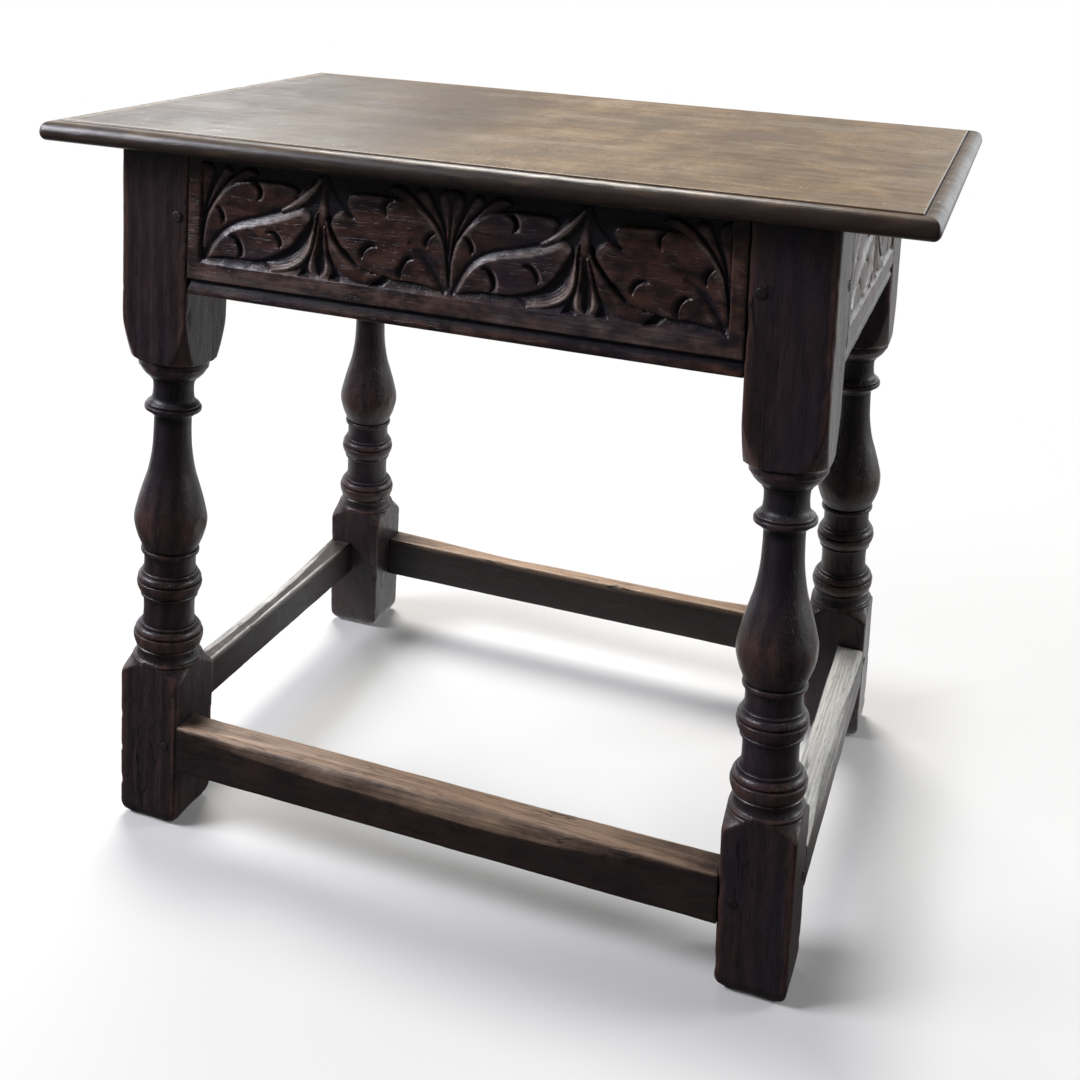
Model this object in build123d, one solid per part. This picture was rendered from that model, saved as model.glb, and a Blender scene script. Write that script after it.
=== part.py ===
from build123d import *
from dataclasses import dataclass
from math import hypot, sqrt
from typing import Callable
import os

# Joint stool in oak. Millimetres, +Z up, +X along the long side, the front faces -Y.
# The origin is on the floor, under the middle of the top. The four legs cant outwards both
# ways, so every rail and stretcher face leans with them. Heights are above the floor.

# --- overall ---------------------------------------------------------------------------------
height = 530.0                  # floor to the top surface
frame_foot_length = 537.0       # over the outer faces of the legs, at the floor
frame_head_length = 458.0       # the same, under the top board
frame_foot_width = 396.0
frame_head_width = 330.0

# --- top board -------------------------------------------------------------------------------
top_end_overhang = 51.0         # board past the frame's head, at each end
top_side_overhang = 17.0        # and at the front and rear
top_thickness = 12.5
field_margin = 11.0             # width of the worked edge around the raised field
field_rise = 1.2                # the raised field stands this much above the edge moulding
nose_drop = 8.0                 # top surface down to the widest point of the moulding
underside_inset = 4.5           # the underside starts this far in from the nose

# --- legs ------------------------------------------------------------------------------------
leg_square = 50.5
foot_chamfer = 3.0
lower_block_height = 138.0      # floor to the base ring of a front leg
lower_corner_turn = 30.0        # length over which the block's corners are turned away
upper_block_tail = 43.5         # upper block, from the rail's lower edge to the turning
rear_turning_drop = 6.0         # the rear legs' turnings sit this much lower

# turned members of a leg, from the lower block upwards: heights and greatest radii
lower_shoulder_radius = 28.5    # left on the lower block's turned corners
corner_fullness = 2.0           # both blocks' turned corners bulge this much beyond a cone
base_ring_height = 2.5
base_ring_radius = 25.2
scotia_height = 8.3
scotia_radius = 22.4
scotia_hollow = 0.9             # depth of the scotia's hollow below a cone
lower_torus_height = 19.7
lower_torus_radius = 25.2
column_height = 24.8
column_radius = 19.2
upper_torus_height = 21.6
upper_torus_radius = 24.4
under_collar_height = 14.6
collar_height = 3.5
collar_radius = 20.9
quirk_height = 2.0              # small groove between the collar and the baluster
bulb_radius = 25.2
baluster_neck_radius = 12.7
# the baluster's curve: shares of its height, and of its swell from neck to bulb
baluster_curve = ((0.2, 1.0), (0.47, 0.6), (0.76, 0.08), (1.0, 0.0))
knop_height = 15.0
knop_radius = 19.4
knop_rim = 3.5
upper_neck_height = 14.5
upper_neck_radius = 13.9
cup_height = 10.0
cup_foot_radius = 16.0
cup_fullness = 1.0              # the cup bulges this much beyond a cone
bead_height = 6.5
bead_radius = 23.6
shoulder_height = 2.0
upper_shoulder_radius = 29.2    # left on the upper block's turned corners

# --- rails -----------------------------------------------------------------------------------
rail_height = 90.0
rail_thickness = 24.0
panel_margin = 9.0              # plain strip between a leg and the sunk panel
panel_depth = 3.0
panel_foot = 21.5               # lower edge of the rail up to the panel
panel_head = 4.0                # panel up to the upper edge of the rail
bevel_height = 10.5             # scratched bevel along the rail's lower edge
bevel_depth = 3.5

# --- stretchers ------------------------------------------------------------------------------
long_stretcher_foot = 53.5      # floor up to the front and rear stretchers
long_stretcher_height = 40.0
side_stretcher_foot = 63.0
side_stretcher_height = 33.5
stretcher_thickness = 22.5
stretcher_wear = 3.0            # radius of the rubbed upper edges

# --- joints ----------------------------------------------------------------------------------
tenon_thickness = 8.0
rail_tenon_setback = 12.0       # outer face of the frame in to the tenon
stretcher_tenon_setback = 7.5
rail_tenon_shoulder = 10.0      # rail left above and below its tenon
stretcher_tenon_shoulder = 4.0
joint_wall = 2.0                # wood left between neighbouring mortises and peg holes
mortise_fit = 0.15              # clearance on each face of a tenon
mortise_end = 1.0               # clearance at a tenon's end
peg_diameter = 8.4
peg_fit = 0.1                   # radial clearance of a peg in its hole
peg_proud = 0.6                 # pegs stand this much out of the leg
peg_end = 1.0                   # clearance at a peg's end
peg_tip = 1.0                   # chamfer on the driven end
rail_peg_setback = 8.0          # leg's inner face in to the peg
rail_peg_height = 49.0          # lower edge of the rail up to the peg
stretcher_peg_setback = 10.5
top_peg_cover = 3.5             # wood left above the holes of the top pegs
top_peg_depth = 25.0            # the top pegs reach this far down into the frame

# --- worked out ------------------------------------------------------------------------------
top_length = frame_head_length + 2 * top_end_overhang
top_width = frame_head_width + 2 * top_side_overhang
frame_top = height - top_thickness
rail_foot = frame_top - rail_height
length_cant = (frame_foot_length - frame_head_length) / 2 / frame_top
width_cant = (frame_foot_width - frame_head_width) / 2 / frame_top
axis_stretch = hypot(1.0, length_cant, width_cant)
beyond = height + top_length    # further than any part of the stool reaches
corner_radius = leg_square / sqrt(2)
clear_radius = leg_square       # a turning of this radius leaves the square leg untouched
peg_radius = peg_diameter / 2
hole_radius = peg_radius + peg_fit
top_hole_depth = top_thickness - top_peg_cover
top_peg_inset = rail_tenon_setback + tenon_thickness + mortise_fit + joint_wall + hole_radius


def half_length(z: float) -> float:
    """Distance of the side frames' outer faces from the middle at a height."""
    return frame_foot_length / 2 - length_cant * z


def half_width(z: float) -> float:
    """Distance of the front and rear frames' outer faces from the middle at a height."""
    return frame_foot_width / 2 - width_cant * z


@dataclass(frozen=True)
class Side:
    """One side of the frame, drawn facing -Y and then turned about Z into its place."""

    name: str
    turn: float                             # degrees about Z
    legs: tuple[str, str]                   # the legs at its -X and +X ends before turning
    half_run: Callable[[float], float]      # half the side's length at a height
    set_out: Callable[[float], float]       # its outer face's distance from the middle
    cant: float                             # how far the outer face leans in, per unit of height
    stretcher_foot: float
    stretcher_height: float

    def place(self, shape):
        return Rot(0, 0, self.turn) * shape


long_run = (half_length, half_width, width_cant, long_stretcher_foot, long_stretcher_height)
short_run = (half_width, half_length, length_cant, side_stretcher_foot, side_stretcher_height)
sides = [
    Side("front", 0, ("leg_front_left", "leg_front_right"), *long_run),
    Side("right", 90, ("leg_front_right", "leg_rear_right"), *short_run),
    Side("rear", 180, ("leg_rear_right", "leg_rear_left"), *long_run),
    Side("left", 270, ("leg_rear_left", "leg_front_left"), *short_run),
]


# --- leaning blocks --------------------------------------------------------------------------
def leaning_block(x_faces, y_faces, z_low: float, z_high: float) -> Part:
    """Block between two leaning x faces and two leaning y faces, level above and below."""

    def trapezium(faces):
        first, second = faces
        lower = [(first(z_low), z_low), (second(z_low), z_low)]
        upper = [(second(z_high), z_high), (first(z_high), z_high)]
        return Polygon(*lower, *upper, align=None)

    across = extrude(Plane.XZ * trapezium(x_faces), amount=beyond, both=True)
    along = extrude(Plane.YZ * trapezium(y_faces), amount=beyond, both=True)
    return across & along


def between_legs(side: Side, z_low: float, z_high: float, outer, inner, short: float = 0.0) -> Part:
    """Block of a side from leg to leg, or stopping short of both, drawn facing -Y.

    outer and inner give its faces' depths behind the side's outer face at a height.
    """
    stop = leg_square + short
    x_faces = (lambda z: stop - side.half_run(z), lambda z: side.half_run(z) - stop)
    y_faces = (lambda z: outer(z) - side.set_out(z), lambda z: inner(z) - side.set_out(z))
    return leaning_block(x_faces, y_faces, z_low, z_high)


def tongue(side: Side, end: int, joinery: "Joinery", fit: float, spare: float) -> Part:
    """Tenon at the -X (end -1) or +X (end 1) end of a side, rooted in its rail or stretcher.

    It stops short of the mortise of the side that meets it in the leg. With a fit on its faces
    and spare length at its end it is the mortise, and joint_wall is left between the two.
    """
    setback = joinery.setback
    tip = setback + tenon_thickness + mortise_fit + joint_wall + mortise_end - spare
    x_faces = (
        lambda z: end * (side.half_run(z) - leg_square - tenon_thickness),
        lambda z: end * (side.half_run(z) - tip),
    )
    y_faces = (
        lambda z: setback - fit - side.set_out(z),
        lambda z: setback + tenon_thickness + fit - side.set_out(z),
    )
    return leaning_block(x_faces, y_faces, joinery.z_low - fit, joinery.z_high + fit)


# --- pegs ------------------------------------------------------------------------------------
def peg(depth: float, proud: float) -> Part:
    """Peg along -Z from its head, which stands proud of the origin, with an eased tip."""
    stem = Cylinder(peg_radius, depth + proud, align=(Align.CENTER, Align.CENTER, Align.MAX))
    stem = Pos(0, 0, proud) * stem
    return chamfer(stem.edges().group_by(Axis.Z)[0], peg_tip)


def peg_hole(depth: float, above: float) -> Part:
    """Hole for a peg of this depth, cut from a distance above the origin."""
    bore = Cylinder(hole_radius, depth + peg_end + above, align=(Align.CENTER, Align.CENTER, Align.MAX))
    return Pos(0, 0, above) * bore


def peg_seats(side: Side, z: float, setback: float) -> list[Location]:
    """Where the two pegs of a rail or stretcher enter the legs, square to the outer face."""
    reach = side.half_run(z) - leg_square + setback
    facing = (0, -1, side.cant)
    return [Plane(origin=(end * reach, -side.set_out(z), z), z_dir=facing).location for end in (-1, 1)]


def side_peg_depth(setback: float) -> float:
    """Depth that leaves joint_wall to the peg hole from the other side of the leg."""
    return leg_square - setback - hole_radius - joint_wall - peg_end


# --- one side of the frame -------------------------------------------------------------------
@dataclass(frozen=True)
class Joinery:
    """How a rail or a stretcher is jointed into its legs."""

    z_low: float
    z_high: float
    setback: float
    peg_z: float
    peg_setback: float

    def tongues(self, side: Side, fit: float = 0.0, spare: float = 0.0) -> list[Part]:
        return [tongue(side, end, self, fit, spare) for end in (-1, 1)]

    def pegs(self, side: Side) -> list[Part]:
        depth = side_peg_depth(self.peg_setback)
        return [seat * peg(depth, peg_proud) for seat in peg_seats(side, self.peg_z, self.peg_setback)]

    def peg_holes(self, side: Side) -> list[Part]:
        depth = side_peg_depth(self.peg_setback)
        return [seat * peg_hole(depth, peg_radius) for seat in peg_seats(side, self.peg_z, self.peg_setback)]


rail_joinery = Joinery(
    z_low=rail_foot + rail_tenon_shoulder,
    z_high=frame_top - rail_tenon_shoulder,
    setback=rail_tenon_setback,
    peg_z=rail_foot + rail_peg_height,
    peg_setback=rail_peg_setback,
)


def stretcher_joinery(side: Side) -> Joinery:
    """Joinery of a side's stretcher."""
    return Joinery(
        z_low=side.stretcher_foot + stretcher_tenon_shoulder,
        z_high=side.stretcher_foot + side.stretcher_height - stretcher_tenon_shoulder,
        setback=stretcher_tenon_setback,
        peg_z=side.stretcher_foot + side.stretcher_height / 2,
        peg_setback=stretcher_peg_setback,
    )


def rail(side: Side) -> Part:
    """Rail with its sunk panel and the bevel scratched along its lower edge."""
    outside = -rail_thickness
    body = between_legs(side, rail_foot, frame_top, lambda z: 0, lambda z: rail_thickness)
    panel = between_legs(
        side,
        rail_foot + panel_foot,
        frame_top - panel_head,
        lambda z: outside,
        lambda z: panel_depth,
        panel_margin,
    )
    bevel = between_legs(
        side,
        rail_foot,
        rail_foot + bevel_height,
        lambda z: outside,
        lambda z: bevel_depth * (z - rail_foot) / bevel_height,
    )
    body = body - panel - bevel
    for piece in rail_joinery.tongues(side):
        body += piece
    return body - rail_joinery.peg_holes(side)


def stretcher(side: Side) -> Part:
    """Stretcher with rubbed upper edges."""
    z_low = side.stretcher_foot
    z_high = z_low + side.stretcher_height
    body = between_legs(side, z_low, z_high, lambda z: 0, lambda z: stretcher_thickness)
    upper_edges = body.edges().group_by(Axis.Z)[-1].filter_by(Axis.X)
    body = fillet(upper_edges, stretcher_wear)
    joinery = stretcher_joinery(side)
    for piece in joinery.tongues(side):
        body += piece
    return body - joinery.peg_holes(side)


# --- turned legs -----------------------------------------------------------------------------
class TurningPen:
    """Draws a turning's half section upwards, in the plane of radius (X) and axis (Y).

    Rises are heights above the floor's level, stretched here onto the leg's slanting axis.
    """

    def __init__(self, radius: float, z: float):
        self.z = z
        self.here = (radius, z * axis_stretch)
        self.edges = []

    def point(self, radius: float, rise: float):
        return (radius, (self.z + rise) * axis_stretch)

    def line(self, radius: float, rise: float):
        self.edges.append(Line(self.here, self.point(radius, rise)))
        self.move(radius, rise)

    def bow(self, middle_radius: float, radius: float, rise: float):
        """An arc through a middle radius, halfway up."""
        middle = self.point(middle_radius, rise / 2)
        self.edges.append(ThreePointArc(self.here, middle, self.point(radius, rise)))
        self.move(radius, rise)

    def cone(self, radius: float, rise: float, fullness: float):
        """A cone to a new radius that bulges by its fullness, or is hollow where that is negative."""
        self.bow((self.here[0] + radius) / 2 + fullness, radius, rise)

    def curve(self, stations, start_tangent, end_tangent):
        """A smooth curve through stations of radius and rise."""
        points = [self.here] + [self.point(radius, rise) for radius, rise in stations]
        self.edges.append(Spline(*points, tangents=(start_tangent, end_tangent)))
        self.move(*stations[-1])

    def move(self, radius: float, rise: float):
        self.here = self.point(radius, rise)
        self.z += rise


def turning(drop: float) -> Part:
    """Solid of revolution that turns a square leg, with its turned length lowered by drop."""
    overrun = leg_square / 2            # clears the leg's level ends on its slanting axis
    block_top = lower_block_height - drop
    turned_top = rail_foot - upper_block_tail - drop
    pen = TurningPen(0.0, -overrun)
    pen.line(clear_radius, 0.0)
    pen.line(clear_radius, overrun + block_top - lower_corner_turn)
    pen.line(corner_radius, 0.0)
    pen.cone(lower_shoulder_radius, lower_corner_turn, corner_fullness)
    pen.line(base_ring_radius, 0.0)
    pen.line(base_ring_radius, base_ring_height)
    pen.cone(scotia_radius, scotia_height, -scotia_hollow)
    pen.bow(lower_torus_radius, column_radius, lower_torus_height)
    pen.line(column_radius, column_height)
    pen.bow(upper_torus_radius, column_radius, upper_torus_height)
    pen.line(column_radius, under_collar_height)
    pen.line(collar_radius, 0.0)
    pen.line(collar_radius, collar_height)
    pen.line(column_radius, quirk_height)

    # the baluster takes the length that the other members leave between the two blocks
    head_members = knop_height + upper_neck_height + cup_height + bead_height + shoulder_height
    baluster = turned_top - head_members - pen.z
    swell = bulb_radius - baluster_neck_radius
    stations = [(baluster_neck_radius + swell * out, baluster * up) for up, out in baluster_curve]
    pen.curve(stations, (1, 1), (0, 1))

    knop_slope = (knop_height - knop_rim) / 2
    pen.line(knop_radius, knop_slope)
    pen.line(knop_radius, knop_rim)
    pen.line(upper_neck_radius, knop_slope)
    pen.line(upper_neck_radius, upper_neck_height)
    pen.line(cup_foot_radius, 0.0)
    pen.cone(bead_radius, cup_height, cup_fullness)
    pen.line(bead_radius, bead_height)
    pen.line(upper_shoulder_radius, shoulder_height)
    pen.cone(corner_radius, upper_block_tail + drop, corner_fullness)
    pen.line(clear_radius, 0.0)
    pen.line(clear_radius, frame_top + overrun - pen.z)
    pen.line(0.0, 0.0)
    axis_line = Line(pen.here, (0.0, -overrun * axis_stretch))
    return revolve(Plane.XZ * make_face([*pen.edges, axis_line]), Axis.Z)


def leg_blank(x_side: int, y_side: int, drop: float) -> Part:
    """One leg: a leaning square stick, turned between its blocks, with its foot eased."""
    x_faces = (lambda z: x_side * half_length(z), lambda z: x_side * (half_length(z) - leg_square))
    y_faces = (lambda z: y_side * half_width(z), lambda z: y_side * (half_width(z) - leg_square))
    stick = leaning_block(x_faces, y_faces, 0.0, frame_top)
    stick = chamfer(stick.edges().group_by(Axis.Z)[0], foot_chamfer)
    foot_centre = (
        x_side * (half_length(0.0) - leg_square / 2),
        y_side * (half_width(0.0) - leg_square / 2),
        0.0,
    )
    lean = (-x_side * length_cant, -y_side * width_cant, 1.0)
    return stick & Plane(origin=foot_centre, z_dir=lean).location * turning(drop)


# --- top board -------------------------------------------------------------------------------
def board_section(half: float) -> Sketch:
    """Section of the top board: a raised field, a quirk, and a thumb that rounds under."""
    nose_z = height - nose_drop
    nose = (half, nose_z)
    quirk = (half - field_margin, height - field_rise)
    field = (half - field_margin, height)
    under = (half - underside_inset, frame_top)
    edge = [
        TangentArc(nose, under, tangent=(0, -1)),
        TangentArc(nose, quirk, tangent=(0, 1)),
        Line(quirk, field),
        Line(field, (0, height)),
        Line((0, frame_top), under),
        Line((0, height), (0, frame_top)),
    ]
    half_face = make_face(edge)
    return half_face + mirror(half_face, Plane.YZ)


def board() -> Part:
    """Top board: the same section run across its length and its width, mitred at the corners."""
    lengthwise = extrude(Plane.XZ * board_section(top_length / 2), amount=beyond, both=True)
    crosswise = extrude(Plane.YZ * board_section(top_width / 2), amount=beyond, both=True)
    return lengthwise & crosswise


# --- assembly --------------------------------------------------------------------------------
leg_blanks = {
    "leg_front_left": leg_blank(-1, -1, 0.0),
    "leg_front_right": leg_blank(1, -1, 0.0),
    "leg_rear_left": leg_blank(-1, 1, rear_turning_drop),
    "leg_rear_right": leg_blank(1, 1, rear_turning_drop),
}
leg_cuts = {name: [] for name in leg_blanks}
nodes = {}

for side in sides:
    nodes[f"{side.name}_rail"] = side.place(rail(side))
    nodes[f"{side.name}_stretcher"] = side.place(stretcher(side))
    for joinery, member in ((rail_joinery, "rail"), (stretcher_joinery(side), "stretcher")):
        pegs = [side.place(each) for each in joinery.pegs(side)]
        nodes[f"{side.name}_{member}_pegs"] = Compound(children=pegs)
        mortises = joinery.tongues(side, mortise_fit, mortise_end)
        holes = joinery.peg_holes(side)
        for leg, mortise, hole in zip(side.legs, mortises, holes):
            leg_cuts[leg] += [side.place(mortise), side.place(hole)]

leg_peg_x = half_length(frame_top) - top_peg_inset
leg_peg_y = half_width(frame_top) - top_peg_inset
rail_peg_y = half_width(frame_top) - rail_thickness / 2
top_peg_places = {
    "leg_front_left": (-leg_peg_x, -leg_peg_y),
    "leg_front_right": (leg_peg_x, -leg_peg_y),
    "leg_rear_left": (-leg_peg_x, leg_peg_y),
    "leg_rear_right": (leg_peg_x, leg_peg_y),
    "front_rail": (0.0, -rail_peg_y),
    "rear_rail": (0.0, rail_peg_y),
}
top_board = board()
top_pegs = []
for carrier, (x, y) in top_peg_places.items():
    seat = Pos(x, y, frame_top)
    top_pegs.append(seat * peg(top_peg_depth, top_hole_depth - peg_end))
    hole = seat * peg_hole(top_peg_depth, top_hole_depth)
    top_board -= hole
    if carrier in leg_cuts:
        leg_cuts[carrier].append(hole)
    else:
        nodes[carrier] -= hole

nodes["top_board"] = top_board
nodes["top_pegs"] = Compound(children=top_pegs)
for name, blank in leg_blanks.items():
    nodes[name] = blank - leg_cuts[name]

os.makedirs("parts", exist_ok=True)
for name, shape in nodes.items():
    export_step(shape, f"parts/{name}.step")
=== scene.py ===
import logging
import math
from dataclasses import dataclass, field
from enum import Enum
from typing import Callable, Sequence

import bmesh
import bpy
import numpy as np
from mathutils import Euler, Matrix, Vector


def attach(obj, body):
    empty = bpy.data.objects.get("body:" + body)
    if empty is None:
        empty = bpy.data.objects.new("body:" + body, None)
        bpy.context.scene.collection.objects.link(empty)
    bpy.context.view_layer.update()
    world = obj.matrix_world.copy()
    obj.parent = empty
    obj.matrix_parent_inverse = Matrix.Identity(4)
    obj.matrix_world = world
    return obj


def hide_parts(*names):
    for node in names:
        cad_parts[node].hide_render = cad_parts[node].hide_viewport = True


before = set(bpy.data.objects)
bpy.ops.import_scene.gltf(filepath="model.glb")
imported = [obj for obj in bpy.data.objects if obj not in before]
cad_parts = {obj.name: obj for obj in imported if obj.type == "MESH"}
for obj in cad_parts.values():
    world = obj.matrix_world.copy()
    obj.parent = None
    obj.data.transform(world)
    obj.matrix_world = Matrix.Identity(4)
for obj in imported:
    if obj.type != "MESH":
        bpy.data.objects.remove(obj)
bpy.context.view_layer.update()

log = logging.getLogger("joint_stool")

# A joint stool in oak: a moulded board on four canted turned legs, tied by carved rails and low
# stretchers. Lengths are in millimetres until a mesh is made. +X runs along the long side, the
# front faces -Y, and +Z is up from the floor.

MM = 0.001
ROOT = "root"
WELD_GAP = 1e-5         # metres


# --- small numeric tools ---------------------------------------------------------------------
def ease(x: np.ndarray) -> np.ndarray:
    """Smooth step: three x squared less two x cubed, held at 0 below 0 and at 1 above 1."""
    x = np.clip(x, 0.0, 1.0)
    return x * x * (3.0 - 2.0 * x)


def soft_min(a: np.ndarray, b: np.ndarray, width: float) -> np.ndarray:
    """The smaller of two values, rounded where they cross.

    Formula: the smaller value, less a quarter of width times the square of one less the gap over
    width.

    Args:
        a: first values.
        b: second values.
        width: gap below which the crossing is rounded.

    Returns:
        The rounded smaller values.
    """
    near = np.clip(1.0 - np.abs(a - b) / width, 0.0, 1.0)
    return np.minimum(a, b) - 0.25 * width * near * near


def through(stations: Sequence[Sequence[float]], per: int = 8) -> np.ndarray:
    """A smooth line through stations: the Catmull-Rom cubic of each four neighbours.

    Args:
        stations: points that the line passes, in order.
        per: samples from one station to the next.

    Returns:
        The sampled points.
    """
    p = np.asarray(stations, float)
    p = np.vstack([2 * p[0] - p[1], p, 2 * p[-1] - p[-2]])
    t = np.linspace(0.0, 1.0, per, endpoint=False)[None, :, None]
    a, b, c, d = p[:-3, None], p[1:-2, None], p[2:-1, None], p[3:, None]
    cubic = 2 * b + (c - a) * t + (2 * a - 5 * b + 4 * c - d) * t**2 + (3 * b - a - 3 * c + d) * t**3
    return np.vstack([0.5 * cubic.reshape(-1, p.shape[1]), p[-2:-1]])


def nearest(points: np.ndarray, line: np.ndarray) -> tuple[np.ndarray, np.ndarray, np.ndarray]:
    """How points lie to a line of straight spans: each is dropped square onto its nearest span.

    Args:
        points: plane points, one per row.
        line: the line's points, one per row.

    Returns:
        Distance to the line, side of it (1 left, -1 right), and share of its length at the foot.
    """
    start, span = line[:-1], np.diff(line, axis=0)
    length = np.hypot(span[:, 0], span[:, 1])
    out = points[:, None, :] - start
    share = np.clip((out * span).sum(-1) / np.maximum(length**2, 1e-12), 0.0, 1.0)
    gap = out - share[..., None] * span
    squared = (gap**2).sum(-1)
    best = squared.argmin(1)
    row = np.arange(len(points))
    side = np.sign(span[best, 0] * out[row, best, 1] - span[best, 1] * out[row, best, 0])
    run = np.concatenate([[0.0], np.cumsum(length)])
    along = (run[best] + share[row, best] * length[best]) / run[-1]
    return np.sqrt(squared[row, best]), side, along


def depth_inside(points: np.ndarray, loop: np.ndarray) -> np.ndarray:
    """Distance inside a closed outline, negative outside.

    A point is inside where a level ray from it crosses the outline an odd number of times.

    Args:
        points: plane points, one per row.
        loop: the outline's points, one per row, not repeated at the end.

    Returns:
        Signed distances.
    """
    distance = nearest(points, np.vstack([loop, loop[:1]]))[0]
    a, b = loop, np.roll(loop, -1, axis=0)
    x, y = points[:, 0, None], points[:, 1, None]
    rise = np.where(b[:, 1] == a[:, 1], 1.0, b[:, 1] - a[:, 1])
    crossed = ((a[:, 1] > y) != (b[:, 1] > y)) & (x < a[:, 0] + (y - a[:, 1]) * (b[:, 0] - a[:, 0]) / rise)
    return np.where(crossed.sum(1) % 2 == 1, distance, -distance)


def ripple(points: np.ndarray, wave: Sequence[float], seed: int, count: int = 14) -> np.ndarray:
    """Gentle random unevenness between about -1 and 1.

    Formula: the scaled sum of sines of each point's dot product with seeded random directions,
    each stretched by the wavelength along its axis.

    Args:
        points: places, with the last axis x, y, z.
        wave: wavelengths along x, y and z.
        seed: seed of the random directions and phases.
        count: number of sines.

    Returns:
        One value per point.
    """
    rng = np.random.default_rng(seed)
    direction = rng.normal(size=(count, 3))
    direction *= rng.uniform(0.6, 1.6, (count, 1)) / np.linalg.norm(direction, axis=1, keepdims=True)
    phase = rng.uniform(0.0, 2 * np.pi, count)
    turns = 2 * np.pi * direction / np.asarray(wave, float)
    return np.sin(points @ turns.T + phase).sum(-1) / math.sqrt(count / 2) / 1.6


def blur(grid: np.ndarray, cells: int, rounds: int = 2) -> np.ndarray:
    """A grid averaged over square windows, by running sums along each axis in turn.

    Args:
        grid: values on a grid.
        cells: half the window's width, in cells.
        rounds: how many times the average is taken.

    Returns:
        The averaged grid.
    """
    for _ in range(rounds):
        for axis in (0, 1):
            pad = [(0, 0), (0, 0)]
            pad[axis] = (cells + 1, cells)
            total = np.cumsum(np.pad(grid, pad, mode="edge"), axis=axis)
            low = np.take(total, range(grid.shape[axis]), axis=axis)
            high = np.take(total, range(2 * cells + 1, grid.shape[axis] + 2 * cells + 1), axis=axis)
            grid = (high - low) / (2 * cells + 1)
    return grid


def spaced(*marks: tuple[float, float]) -> np.ndarray:
    """Stations from mark to mark.

    Args:
        marks: pairs of a place and the step used up to the next mark.

    Returns:
        Places in order, each mark among them.
    """
    parts = []
    for (low, step), (high, _) in zip(marks[:-1], marks[1:]):
        count = max(1, round(abs(high - low) / step))
        parts.append(np.linspace(low, high, count, endpoint=False))
    return np.concatenate([*parts, [marks[-1][0]]])


# --- meshes ----------------------------------------------------------------------------------
def volume_under(points: np.ndarray, triangles: np.ndarray) -> float:
    """Six times the volume between triangles and the origin, more than 0 where they face outwards.

    Formula: the sum of each first corner's dot product with the cross product of the other two.

    Args:
        points: places, with x, y and z in their first three columns.
        triangles: rows of three indices.

    Returns:
        The volume.
    """
    first, second, third = (points[triangles[:, corner], :3] for corner in range(3))
    return float(np.einsum("ij,ij->", first, np.cross(second, third)))


@dataclass
class Tube:
    """A closed skin: rings of points, joined in order, with a fan over each end.

    Without fans, the rings at its ends are closed up by a weld, so each has shrunk to a line.

    rings has the shape (rings, points on a ring, 3), in millimetres. Its other fields hold a value for each
    of its points: how much it is rubbed, with painted highlights; how dirty it is, with painted shade; and
    its place in the timber (along the grain, then two ways across), in millimetres.
    """

    rings: np.ndarray
    rub: np.ndarray
    grime: np.ndarray
    timber: np.ndarray
    capped: bool = True

    def parts(self) -> tuple[np.ndarray, np.ndarray, np.ndarray]:
        """The skin as plain arrays.

        Returns:
            Points with their rub, grime and timber as further columns, four-sided faces, and
            three-sided faces.
        """
        rows, around = self.rings.shape[:2]
        table = np.concatenate(
            [self.rings, self.rub[..., None], self.grime[..., None], self.timber], axis=-1
        )
        first, last = table[0].mean(0), table[-1].mean(0)
        points = np.vstack([table.reshape(-1, table.shape[-1]), first, last])
        row, col = np.meshgrid(np.arange(rows - 1), np.arange(around), indexing="ij")
        after = (col + 1) % around
        quads = np.stack([row * around + col, row * around + after, (row + 1) * around + after,
                          (row + 1) * around + col], -1).reshape(-1, 4)
        here = np.arange(around)
        ahead = (here + 1) % around
        top = (rows - 1) * around
        low_fan = np.stack([ahead, here, np.full(around, rows * around)], -1)
        high_fan = np.stack([top + here, top + ahead, np.full(around, rows * around + 1)], -1)
        fans = np.vstack([low_fan, high_fan])
        if not self.capped:
            points, fans = points[:-2], fans[:0]
        halves = (quads[:, [0, 1, 2]], quads[:, [0, 2, 3]], fans)
        if sum(volume_under(points, triangles) for triangles in halves) < 0:
            quads, fans = quads[:, ::-1], fans[:, ::-1]
        return points, quads, fans


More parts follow.
